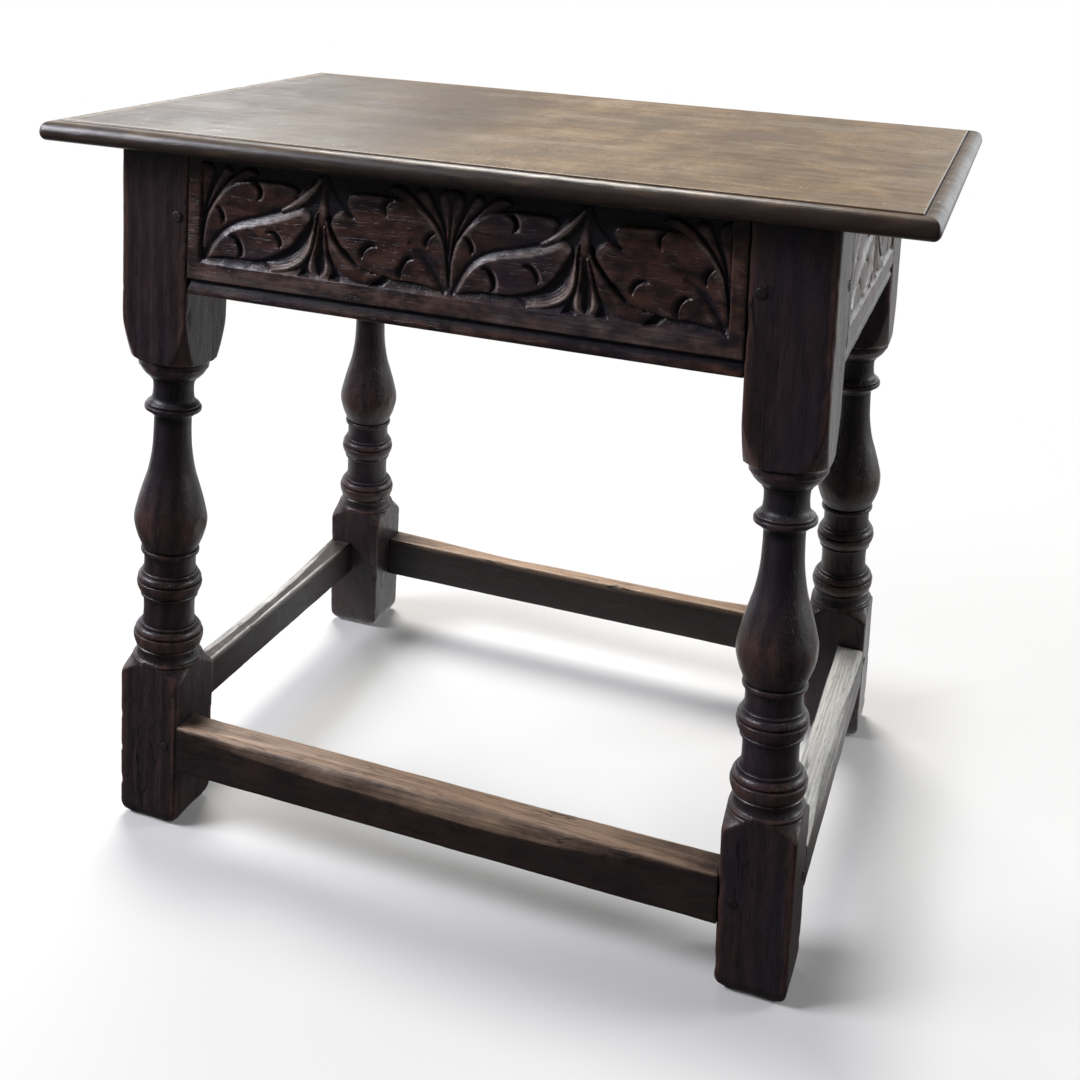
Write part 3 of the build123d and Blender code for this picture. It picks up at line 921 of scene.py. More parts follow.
    def carve(self, broad: bool) -> np.ndarray:
        """Works out the surface of the half repeat.

        The ground dips from the panel's foot. Each form is laid over what is there: within a wall's
        width of its outline the surface passes smoothly from the ground to the form's own level,
        and the level rises from the outline inwards, so the form is cushioned.

        Args:
            broad: whether the fleur's outer petals on this side are one broad petal.

        Returns:
            Levels and painted highlights, partly wear, from 0 to 1, on grids, rows up the panel, columns
            along it.
        """
        across = np.arange(0.0, self.unit + self.step, self.step)
        up = np.arange(0.0, self.head + self.step, self.step)
        points = np.stack(np.meshgrid(across, up), -1).reshape(-1, 2)
        edge_level, dip = -0.25, 5.0
        level = edge_level - self.ground * (1 - np.exp(-np.clip(points[:, 1], 0, None) / dip))
        panel = Ground(points, level, np.zeros(len(points)))
        self.carve_fan(panel)
        self.carve_leaf(panel, broad)
        for crescent in self.crescents:
            panel.cut(crescent, broad)
        if broad:
            self.carve_broad_petal(panel)
        else:
            self.carve_gouged_petal(panel)
        self.carve_fleur(panel)
        return np.stack([panel.level, panel.wear_and_highlight]).reshape(2, len(up), len(across))

    def carve_fan(self, panel: Ground) -> None:
        """Lays the fan: an outer and an inner petal, and half of a middle one with a cut vein.

        Args:
            panel: the surface that they are laid over.
        """
        edge = through(self.fan_outer[0])

        def rim(place: np.ndarray, depth: np.ndarray) -> np.ndarray:
            """Painted highlight along its lower edge, below its tip."""
            return 0.7 * np.exp(-((nearest(place, edge)[0] - 1.0) ** 2)) * (place[:, 1] < 52)

        def veined(place: np.ndarray, depth: np.ndarray) -> np.ndarray:
            """A cushion with a vein up its middle."""
            ends = ease((place[:, 1] - 14) / 6) * ease((60 - place[:, 1]) / 5)
            vein = np.clip(1 - place[:, 0] / 1.5, 0, 1) * ends
            return -1.5 + 0.6 * ease(depth / 3.0) - 1.5 * vein

        beyond = -self.past_middle
        middle = np.vstack([through(self.fan_middle), [(beyond, self.head), (beyond, 15)]])
        panel.lay(self.between(self.fan_outer), Cushion(-1.9, 0.8, 1.8), self.wall, rim)
        panel.lay(self.between(self.fan_inner), Cushion(-1.9, 0.7, 2.2), self.wall)
        panel.lay(middle, veined, self.wall)

    def carve_leaf(self, panel: Ground, broad: bool) -> None:
        """Lays the leaf: its lower half stands over its upper half and falls to the midrib in a bevel.

        Args:
            panel: the surface that it is laid over.
            broad: whether only the midrib's lower end is cut, and the leaf runs on into a broad petal.
        """
        mid = through(self.midrib)

        def kept(along: np.ndarray) -> np.ndarray:
            """How much of the midrib is cut at a share of its length."""
            return 1 - ease((along - 0.26) / 0.2) if broad else np.ones_like(along)

        def upper_half(place: np.ndarray, depth: np.ndarray) -> np.ndarray:
            """Sinks towards the midrib."""
            gap, _, along = nearest(place, mid)
            rim = 0.75 * np.clip(1 - depth / 2.2, 0, 1)
            return -0.35 - 1.8 * kept(along) * np.exp(-gap / 5.5) - rim

        def bevel(place: np.ndarray) -> np.ndarray:
            """How far down the bevel at the midrib a place lies; the bevel widens along it."""
            gap, _, along = nearest(place, mid)
            return np.clip(1 - gap / (3.8 + 2.2 * ease(along * 1.3)), 0, 1) * kept(along)

        def lower_half(place: np.ndarray, depth: np.ndarray) -> np.ndarray:
            """Falls to the midrib in its bevel."""
            fall = bevel(place)
            return -0.3 - 2.4 * soft_min(fall, np.full_like(fall, 0.9), 0.2) - 0.35 * (1 - ease(depth / 3.5))

        def upper_shine(place: np.ndarray, depth: np.ndarray) -> np.ndarray:
            """Painted highlight along its outline near the fan."""
            return 0.75 * np.clip(1.2 - depth / 1.8, 0, 1) * ease((26 - place[:, 0]) / 8)

        def lower_shine(place: np.ndarray, depth: np.ndarray) -> np.ndarray:
            """Painted highlight on the bevel."""
            return (0.3 if broad else 0.7) * ease(bevel(place) / 0.25)

        fork = through(self.midrib[: self.midrib_fork])
        panel.lay(np.vstack([through(self.leaf_head), fork[::-1][1:-1]]), upper_half, self.wall, upper_shine)
        panel.lay(np.vstack([through(self.leaf_foot), mid[::-1][1:-1]]), lower_half, self.wall, lower_shine)
        if broad:
            panel.lay(np.array(self.from_fleur(self.broad_end)), Cushion(-0.4, 0.0, 1.0), self.wall)

    def carve_gouged_petal(self, panel: Ground) -> None:
        """Lays the fleur's stalk and tendril, and an outer petal that rises over its width.

        Args:
            panel: the surface that they are laid over.
        """
        edges = [through(self.from_fleur(edge)) for edge in self.gouged_petal]

        def crossing(place: np.ndarray) -> np.ndarray:
            """Share of the way over the petal, from its far edge to its near edge."""
            near, far = (nearest(place, edge)[0] for edge in edges)
            return far / np.maximum(near + far, 1e-6)

        def gouged(place: np.ndarray, depth: np.ndarray) -> np.ndarray:
            """Rises over the petal, rounds off at its near edge, and has four flutes along it."""
            over = crossing(place)
            flutes = 0.13 * np.sin(8 * np.pi * over) * ease(depth / 0.8)
            return -2.7 + 2.3 * np.clip(over / 0.85, 0, 1) - 0.5 * ease((over - 0.86) / 0.14) + flutes

        # The stalk takes an even painted highlight.
        panel.lay(self.ribbon(self.stalk, self.stalk_widths), Cushion(-1.2, 0.9, 1.8), self.wall,
                  lambda place, depth: np.full(len(depth), 0.45))
        panel.lay(self.ribbon(self.tendril, self.tendril_widths), Cushion(-2.2, 0.8, 1.6), self.wall)
        # The petal's painted highlight grows towards its near edge.
        panel.lay(self.fleur_petal(self.gouged_petal), gouged, self.wall,
                  lambda place, depth: 0.25 + 0.6 * crossing(place))

    def carve_broad_petal(self, panel: Ground) -> None:
        """Lays a broad outer petal of the fleur, with the lines and the wedge cut by it.

        Args:
            panel: the surface that they are laid over.
        """
        gap, _, along = nearest(panel.points, through(self.stalk))
        panel.level -= 1.2 * np.clip(1 - gap / 1.3, 0, 1) * ease(along / 0.3)
        panel.lay(self.fleur_petal(self.broad_petal), Cushion(-1.2, 0.8, 3.2), self.wall)
        gap, _, along = nearest(panel.points, through(self.from_fleur(self.broad_line)))
        line = np.clip(1 - gap / (1.9 - 0.8 * along), 0, 1) * ease((1 - along) / 0.15)
        panel.level -= 2.8 * line * (along > 0)
        panel.lay(np.array(self.from_fleur(self.broad_wedge)), Cushion(-3.3, -0.3, 1.0), self.low_wall)

    def carve_fleur(self, panel: Ground) -> None:
        """Lays the fleur's inner petal and stem, and sinks the hollow between its petals.

        Args:
            panel: the surface that they are laid over.
        """
        beyond = self.unit + self.past_middle
        # The inner petal's painted highlight lies on its lower part.
        panel.lay(self.fleur_petal(self.inner_petal), Cushion(-1.5, 1.25, 2.2), self.wall,
                  lambda place, depth: 0.8 * ease((18 - place[:, 1]) / 14))
        stem = np.vstack([through(self.from_fleur(self.stem)), [(beyond, 34), (beyond, self.head)]])
        panel.lay(stem, Cushion(-2.2, 0.6, 1.2), self.wall)
        hollow = np.vstack([through(self.from_fleur(self.hollow)), [(beyond, 2), (beyond, 37)]])
        panel.lay(hollow, Cushion(-2.4, -1.2, 1.4), self.low_wall)
        panel.lay(np.array(self.from_fleur(self.sinking)), Cushion(-3.2, -0.4, 1.0), self.low_wall)


class CarvedBand:
    """The carved half repeats, read at any place of a panel."""

    def __init__(self, carving: LeafCarving) -> None:
        """Works out both kinds of half repeat.

        Args:
            carving: the design.
        """
        self.carving = carving
        self.grids = np.stack([carving.carve(False), carving.carve(True)])

    def between_points(self, kind: np.ndarray, row: np.ndarray, column: np.ndarray) -> np.ndarray:
        """Reads the grids at places between their points, by straight lines along both ways.

        Args:
            kind: which grid, for each place.
            row: its place up the grid, in cells.
            column: its place along the grid, in cells.

        Returns:
            Levels and painted highlights, partly wear.
        """
        rows, columns = self.grids.shape[2:]
        r = np.clip(np.floor(row).astype(int), 0, rows - 2)
        c = np.clip(np.floor(column).astype(int), 0, columns - 2)
        past_row, past_column = (row - r)[..., None], (column - c)[..., None]
        low, high = (
            self.grids[kind, :, line, c] * (1 - past_column) + self.grids[kind, :, line, c + 1] * past_column
            for line in (r, r + 1)
        )
        return np.moveaxis(low * (1 - past_row) + high * past_row, -1, 0)

    def read(
        self, share: np.ndarray, h: np.ndarray, halves: int, seed: int
    ) -> tuple[np.ndarray, np.ndarray]:
        """The carved level and painted highlights, partly wear, at places of a panel, a little unsteady as
        handwork is.

        The panel is divided into equal halves of a repeat, every second one mirrored, and each is
        read from its grid with straight-line interpolation.

        Args:
            share: place along the panel, from 0 to 1.
            h: height above the panel's foot.
            halves: number of half repeats along the panel.
            seed: seed of the hand's unsteadiness.

        Returns:
            Levels, negative below the rail's face, and painted highlights, partly wear.
        """
        unit, step = self.carving.unit, self.carving.step
        place = np.stack([share * halves * unit, h, np.full_like(h, 0.0)], -1)
        edge = np.clip(np.minimum(share, 1 - share) * halves * 6, 0, 1)
        x = share * halves + edge * 0.011 * ripple(place, (60, 45, 9), seed)
        h = h + 0.75 * ripple(place, (70, 60, 9), seed + 1) * np.clip(np.minimum(h, 60 - h) / 12, 0, 1)
        index = np.clip(np.floor(x).astype(int), 0, halves - 1)
        part = np.clip(x - index, 0, 1)
        mirrored = index % 2 == 1
        column = np.where(mirrored, 1 - part, part) * unit / step
        row = np.clip(h, 0, self.carving.head) / step
        level, wear_and_highlight = self.between_points(mirrored.astype(int), row, column)
        foot = ease((10 - h) / 4) * ease((h - 0.2) / 1.2)
        stipple = 0.22 * np.abs(ripple(place, (2.6, 2.6, 9), seed + 2)) * foot * ease((-level - 0.9) / 0.8)
        hand = 0.07 * ripple(place, (7, 6, 9), seed + 3) + 0.10 * ripple(place, (17, 12, 9), seed + 4)
        return level - stipple + hand, wear_and_highlight


# --- rails -----------------------------------------------------------------------------------
BOARD_APART = 900.0             # each side's wood is taken from another place in the timber


@dataclass(frozen=True)
class CarvedRail:
    """A rail under the top: a carved sunk panel over a plain strip and a scratched bevel."""

    facing: Facing
    band: CarvedBand
    panel_margin: float = 9.0
    panel_foot: float = 21.5
    panel_head: float = 4.0
    bevel_height: float = 10.5
    bevel_depth: float = 3.5
    joint_gap: float = 0.12
    set_back: float = 0.14          # of the outer face, so that nothing passes the solid
    fine: float = 0.57              # size of the panel's cells
    shade_depth_under_top: float = 19.0             # height under the top that is darkened as painted shade

    @property
    def halves(self) -> int:
        """Half repeats of the carving along the panel."""
        return 4 if self.facing.long else 2

    @property
    def panel_low(self) -> float:
        """Height of the panel's lower edge."""
        return FRAMING.rail_foot + self.panel_foot

    @property
    def panel_high(self) -> float:
        """Height of the panel's upper edge."""
        return FRAMING.top - self.panel_head

    def section(self) -> tuple[np.ndarray, np.ndarray]:
        """Heights of the section's points, closer together at its edges.

        Returns:
            Heights up the outer face, and down the back.
        """
        foot, top = FRAMING.rail_foot, FRAMING.top
        strip = foot + self.bevel_height
        low, high = self.panel_low, self.panel_high
        outer = spaced(
            (foot, 0.7), (foot + 2.1, 1.4), (strip - 0.5, 0.2), (strip + 0.7, 1.6), (low - 0.8, 0.4),
            (low + 0.6, self.fine), (high - 0.8, 0.4), (high + 0.8, 1.4), (top, 1.0),
        )
        return outer, spaced((top, 12.0), (foot, 1.0))

    def stations(self) -> tuple[np.ndarray, np.ndarray]:
        """Places along the rail, from one leg to the other.

        Returns:
            Shares of the panel, held at its ends, and distances past its ends, 0 within it.
        """
        middle = 0.5 * (self.facing.half_run(self.panel_low) + self.facing.half_run(self.panel_high))
        width = 2 * (middle - FRAMING.leg_square - self.panel_margin)
        share = spaced((0.0, self.fine / width), (1.0, 1.0))
        before = np.linspace(0.0, self.panel_margin, 8)[:-1] - self.panel_margin
        past = np.concatenate([before, np.zeros(len(share)), -before[::-1]])
        return np.concatenate([np.zeros(len(before)), share, np.ones(len(before))]), past

    def outer_face(
        self, share: np.ndarray, margin: np.ndarray, z: np.ndarray
    ) -> tuple[np.ndarray, np.ndarray]:
        """Depth of the worked outer face behind its plane, and its painted highlights, partly wear.

        Args:
            share: place along the panel, from 0 to 1, held at its ends.
            margin: distance into the panel, or negative in the plain margin beside it.
            z: height above the floor.

        Returns:
            Depths, positive inwards, and painted highlights, partly wear.
        """
        h = z - self.panel_low
        head = self.panel_high - self.panel_low
        within = ease(margin / 0.9) * ease((h + 0.2) / 0.8) * ease((head - h) / 0.8)
        level, wear_and_highlight = self.band.read(share, h, self.halves, 40 + 7 * self.facing.value)
        up = (z - FRAMING.rail_foot) / self.bevel_height
        bevel = self.bevel_depth * np.clip(up, 0, 1) * (1 - ease((up - 0.965) / 0.05))
        lower_arris = 1.3 * (1 - ease((z - FRAMING.rail_foot) / 2.2))
        return bevel + lower_arris - level * within, wear_and_highlight * within

    def surface_wear(
        self, face: np.ndarray, wear_and_highlight: np.ndarray, z: np.ndarray
    ) -> tuple[np.ndarray, np.ndarray]:
        """How the outer face is rubbed and soiled, with painted highlights and painted shade.

        What stands out from its wider surroundings is rubbed, and the carving's painted highlights are added.
        What lies below them, or deep in the panel, is darkened with dirt and painted shade, less so on the
        panel's foot. Painted shade close under the top is added where the rail is built.

        Args:
            face: depths of the outer face.
            wear_and_highlight: the carving's painted highlights, partly wear.
            z: heights.

        Returns:
            Rub with painted highlights, and grime with painted shade.
        """
        proud = blur(face, 7) - blur(face, 2)
        sunk = blur(np.clip(face - 1.4, 0, None), 1) / 2.2
        rub = 0.03 + 0.45 * np.clip(proud / 0.8, 0, 1) + 0.8 * wear_and_highlight
        on_foot = ease((self.panel_low + 7 - z) / 2) * ease((z - self.panel_low) / 2)
        # Recesses are darkened with dirt and painted shade.
        return rub, np.clip(-proud / 0.8, 0, 1) * 0.8 + np.clip(sunk, 0, 1) * (0.65 - 0.3 * on_foot)

    def build(self) -> bpy.types.Object:
        """Makes the rail: its section, out, up, back and down, is carried from leg to leg.

        Returns:
            The piece.
        """
        outer, inner = self.section()
        share, past = self.stations()
        is_back = np.arange(len(outer) + len(inner)) >= len(outer)
        s, z = np.meshgrid(share, np.concatenate([outer, inner]), indexing="ij")
        out, back = np.meshgrid(past, is_back, indexing="ij")
        half = self.facing.half_run(z) - FRAMING.leg_square - self.panel_margin
        x = (2 * s - 1) * half + out
        x *= 1 - self.joint_gap / (half + self.panel_margin)
        margin = np.where(out == 0, half - np.abs(x), -np.abs(out))
        to_leg = half + self.panel_margin - np.abs(x)

        depth, wear_and_highlight = self.outer_face(s, margin, z)
        place = np.stack([x, np.zeros_like(x), z], -1)
        seed = 11 + self.facing.value
        uneven = 0.12 * ripple(place, (45, 30, 25), seed) + 0.05 * ripple(place, (9, 9, 7), seed + 5)
        hewn = 0.4 * np.abs(ripple(place, (90, 40, 30), seed + 9))
        y = np.where(back, FRAMING.rail_thickness - hewn, depth + self.set_back + uneven)
        y = y + np.where(back, -1, 1) * 0.35 * (1 - ease(to_leg / 0.9))
        y = y - self.facing.set_out(z)

        rub = np.full_like(depth, 0.1)
        grime = np.zeros_like(depth)
        front = np.s_[:, : len(outer)]
        rub[front], grime[front] = self.surface_wear(depth[front], wear_and_highlight[front], z[front])
        # Painted shade close under the top.
        grime = grime + 0.65 * ease((z - (FRAMING.top - self.shade_depth_under_top)) / 15)
        grime = np.clip(np.maximum(grime, 0.9 * (1 - ease(to_leg / 1.2))), 0, 1)
        timber = np.stack(
            [x + BOARD_APART * self.facing.value, y + self.facing.set_out(z), z - FRAMING.rail_foot], -1
        )
        rings = self.facing.place(np.stack([x, y, z], -1))
        tube = Tube(rings, rub, grime, timber)
        piece = make_piece(f"carved_rail_{self.facing.label}", [tube], CARVED_OAK, crease=75)
        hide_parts(f"{self.facing.label}_rail")
        return piece


# --- stretchers ------------------------------------------------------------------------------
@dataclass(frozen=True)
class Stretcher:
    """A low stretcher, its upper outer edge worn away by feet towards the middle."""

    facing: Facing
    foot: float
    height: float
    tread_and_sheen: float                    # wear of a side stretcher's top, with painted sheen on the right one
    arris: float = 1.6
    worn_arris: float = 12.5
    sag: float = 0.3                # of the top, in the middle
    joint_gap: float = 0.12
    inner_face_shade: float = 0.55              # painted shade on the inner face
    stations: int = 181             # places along it
    corner_points: int = 9
    flat_points: int = 7            # between two corners

    def section(self, worn: np.ndarray) -> tuple[np.ndarray, np.ndarray, np.ndarray]:
        """The section's points: four arcs, joined by straight runs.

        Args:
            worn: how far the upper edges are worn, from 0 to 1, at each place along the stretcher.

        Returns:
            Distances behind the outer face, heights above the foot, and how much of an edge each
            point is, with a row for each place.
        """
        thick, high = FRAMING.stretcher_thickness, self.height
        whole = np.full_like(worn, self.arris)
        upper_inner, upper_outer = self.arris + 1.4 * worn, self.arris + 0.8 + self.worn_arris * worn
        corners = (
            (0.0, 0.0, 1.0, whole), (thick, 0.0, 1.5, whole), (thick, high, 0.0, upper_inner),
            (0.0, high, 0.5, upper_outer),
        )
        turn = np.linspace(0, np.pi / 2, self.corner_points)
        arcs_y, arcs_z, edges = [], [], []
        for corner_y, corner_z, half_turns, radius in corners:
            centre_y = corner_y + (radius if corner_y == 0 else -radius)
            centre_z = corner_z + (radius if corner_z == 0 else -radius)
            arcs_y.append(centre_y + radius * np.cos(half_turns * np.pi + turn))
            arcs_z.append(centre_z + radius * np.sin(half_turns * np.pi + turn))
            edges += [np.full((len(worn), len(turn)), 1.0 if corner_z else 0.35),
                      np.zeros((len(worn), self.flat_points))]
        t = np.linspace(0, 1, self.flat_points + 2)[1:-1]
        rings = []
        for arcs in (arcs_y, arcs_z):
            runs = [arc[:, -1:] * (1 - t) + after[:, :1] * t for arc, after in zip(arcs, arcs[1:] + arcs[:1])]
            rings.append(np.hstack([part for pair in zip(arcs, runs) for part in pair]))
        return *rings, np.hstack(edges)

    def build(self) -> bpy.types.Object:
        """Makes the stretcher: a rectangle with four rounded corners, carried from leg to leg.

        The upper outer corner's radius grows from the ends to the middle as one less the square of
        the place, and the top sags with it.

        Returns:
            The piece.
        """
        thick, high = FRAMING.stretcher_thickness, self.height
        span = np.linspace(-1, 1, self.stations)
        middle = (1 - span**2)[:, None]
        seed = 70 + self.facing.value
        run = np.stack([span * 200, span * 0, span * 0], -1)
        worn = middle * (0.85 + 0.15 * ripple(run, (150, 9, 9), seed)[:, None])
        y, h, edge = self.section(worn)
        h = h - self.sag * worn * ease((h - high * 0.5) / (high * 0.5))
        z = self.foot + h
        half = self.facing.half_run(z) - FRAMING.leg_square - self.joint_gap
        x = span[:, None] * half
        place = np.stack([x, y * 3, z], -1)
        broad, fine = ripple(place, (60, 30, 25), seed + 1), ripple(place, (11, 14, 9), seed + 2)
        y = y + (0.1 + 0.22 * broad + 0.08 * fine) * np.where(y < thick / 2, 1, -1)
        inner_face = ease((y - thick + 2.0) / 1.5)
        y = np.clip(y, 0.02, thick - 0.02) - self.facing.set_out(z)

        top_face = ease((h - high + 4.0) / 3.0)
        # A side stretcher's top takes its own share, which on the right one is mostly a painted sheen over
        # the wear.
        tread_and_sheen = 0.38 + 0.52 * middle if self.facing.long else self.tread_and_sheen
        rub = 0.05 + 0.5 * edge * (0.15 + 0.85 * middle) + tread_and_sheen * top_face
        by_leg, by_floor = 0.9 * (1 - ease((half - np.abs(x)) / 3.0)), 0.45 * (1 - ease(h / 6.0))
        # The inner face is darkened as painted shade.
        grime = np.maximum(np.maximum(by_leg, by_floor), self.inner_face_shade * inner_face)
        boards = 5000 + BOARD_APART * self.facing.value
        timber = np.stack([x + boards, y + self.facing.set_out(z), h + 30], -1)
        tube = Tube(self.facing.place(np.stack([x, y, z], -1)), rub, grime, timber)
        finish = WORN_OAK if self.facing.long else SHEENED_BARE_OAK
        piece = make_piece(f"low_stretcher_{self.facing.label}", [tube], finish, crease=50)
        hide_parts(f"{self.facing.label}_stretcher")
        return piece


# --- turned legs -----------------------------------------------------------------------------
STEP_RISE = 0.25                # a fillet's slant, so that no two rings coincide


class Cut(Enum):
    """The shapes that a turner's member takes between its two radii."""

    CONE = "straight, bulged by its fullness"
    ROLL = "half round, standing out by its fullness"
    STEP = "a fillet: straight out or in"


@dataclass(frozen=True)
class Member:
    """One member of a turning: its height, its upper radius and its shape."""

    rise: float
    radius: float
    cut: Cut
    fullness: float = 0.0

    def trace(self, start: float) -> tuple[np.ndarray, np.ndarray]:
        """Samples the member, a roll more finely than a cone.

        A cone bulges as four times its fullness times the place times one less the place. A roll
        stands out as the half ellipse over its height.

        Args:
            start: radius at its lower end.

        Returns:
            Rises and radii, its lower end left out.
        """
        if self.cut is Cut.STEP:
            return np.array([STEP_RISE]), np.array([self.radius])
        count = max(2, round(self.rise / (0.7 if self.cut is Cut.ROLL else 1.1)))
        t = np.linspace(0, 1, count + 1)[1:]
        if self.cut is Cut.ROLL:
            t = 0.5 - 0.5 * np.cos(np.pi * t)
            swell = np.sqrt(np.clip(1 - (2 * t - 1) ** 2, 0, 1))
        else:
            swell = 4 * t * (1 - t)
        return self.rise * t, start + (self.radius - start) * t + self.fullness * swell


def cone(rise: float, radius: float, fullness: float = 0.0) -> Member:
    """A straight or bulged member."""
    return Member(rise, radius, Cut.CONE, fullness)


def roll(rise: float, radius: float, fullness: float) -> Member:
    """A half round member."""
    return Member(rise, radius, Cut.ROLL, fullness)


def step(radius: float) -> Member:
    """A fillet to a radius."""
    return Member(STEP_RISE, radius, Cut.STEP)


@dataclass(frozen=True)
class Turning:
    """The turned length of a leg, from its lower block up to its upper block."""

    lower_block: float = 138.0
    corner_turn: float = 33.0
    clear: float = 50.0
    lower_members: tuple[Member, ...] = (
        step(25.6), roll(2.3, 25.5, 0.5), step(24.0), cone(7.8, 22.5, -0.8), step(23.4), roll(1.4, 23.2, 0.4),
        step(22.7), roll(10.4, 24.6, 1.7), step(23.4), cone(0.8, 23.4), step(24.0), roll(4.4, 21.6, 1.0),
        step(20.4), roll(2.2, 20.2, 0.6), step(19.1), cone(13.5, 18.5, -0.2), cone(8.2, 19.1, -0.1),
        step(20.2), roll(2.4, 20.4, 0.6), step(20.0), roll(9.8, 22.9, 1.6), step(21.9), cone(0.8, 21.9),
        step(22.5), roll(4.6, 20.4, 1.2), step(20.0), roll(2.2, 19.6, 0.6), step(19.0),
        cone(8.0, 18.6, -0.15), cone(6.0, 19.0, -0.1), step(20.4), roll(3.4, 20.4, 0.6), step(19.2),
        cone(1.4, 19.2), step(20.3),
    )
    baluster: Line = (              # share of its height, radius
        (0.0, 20.3), (0.1, 24.0), (0.215, 26.0), (0.345, 23.6), (0.475, 20.1), (0.605, 16.4), (0.76, 13.9),
        (0.9, 13.1), (1.0, 12.9),
    )
    baluster_height: float = 99.0
    upper_members: tuple[Member, ...] = (
        cone(3.2, 15.4, -0.5), cone(2.6, 17.4, 0.3), step(19.3), roll(2.9, 19.3, 0.3), step(17.7),
        cone(0.7, 17.7), step(18.2), roll(1.1, 17.6, 0.3), cone(3.2, 14.6, -0.4), cone(8.0, 13.9, -0.25),
        cone(5.6, 14.6, -0.2), step(15.4), cone(1.2, 15.4), step(16.2), cone(8.2, 22.9, 1.0), step(23.4),
        roll(4.6, 23.4, 0.5), step(24.2), cone(2.4, 28.8, 0.6),
    )
    upper_turn: float = 43.0
    foot_radius: float = 28.4       # under the lowest member
    low_corner: float = 36.2        # radius to the lower block's whole corners
    high_corner: float = 36.4       # and to the upper block's

    def profile(self, drop: float) -> tuple[np.ndarray, np.ndarray]:
        """Heights and radii of the whole turning.

        Args:
            drop: how much lower than on a front leg it sits.

        Returns:
            Heights above the floor, always rising, and radii.
        """
        base = self.lower_block - drop
        t = np.linspace(0, 1, 34)
        corners = self.low_corner - 2.2 * (t / 0.74) ** 2 - 5.6 * ease((t - 0.6) / 0.4) ** 1.5
        heights, radii = [base - self.corner_turn + t * self.corner_turn], [corners]
        z, radius = base, self.foot_radius

        def add(members: Sequence[Member]) -> None:
            """Adds members on top of what is there."""
            nonlocal z, radius
            for member in members:
                rises, ends = member.trace(radius)
                heights.append(z + rises)
                radii.append(ends)
                z, radius = z + rises[-1], ends[-1]

        add(self.lower_members)
        curve = through([(share * self.baluster_height, r) for share, r in self.baluster], 9)[1:]
        heights.append(z + curve[:, 0])
        radii.append(curve[:, 1])
        z, radius = z + self.baluster_height, self.baluster[-1][1]
        add(self.upper_members)
        t = np.linspace(0, 1, 40)[1:]
        heights.append(z + t * (self.upper_turn + drop))
        radii.append(radius + (self.high_corner - radius) * t + 5.0 * t * (1 - t))
        return np.concatenate(heights), np.concatenate(radii)


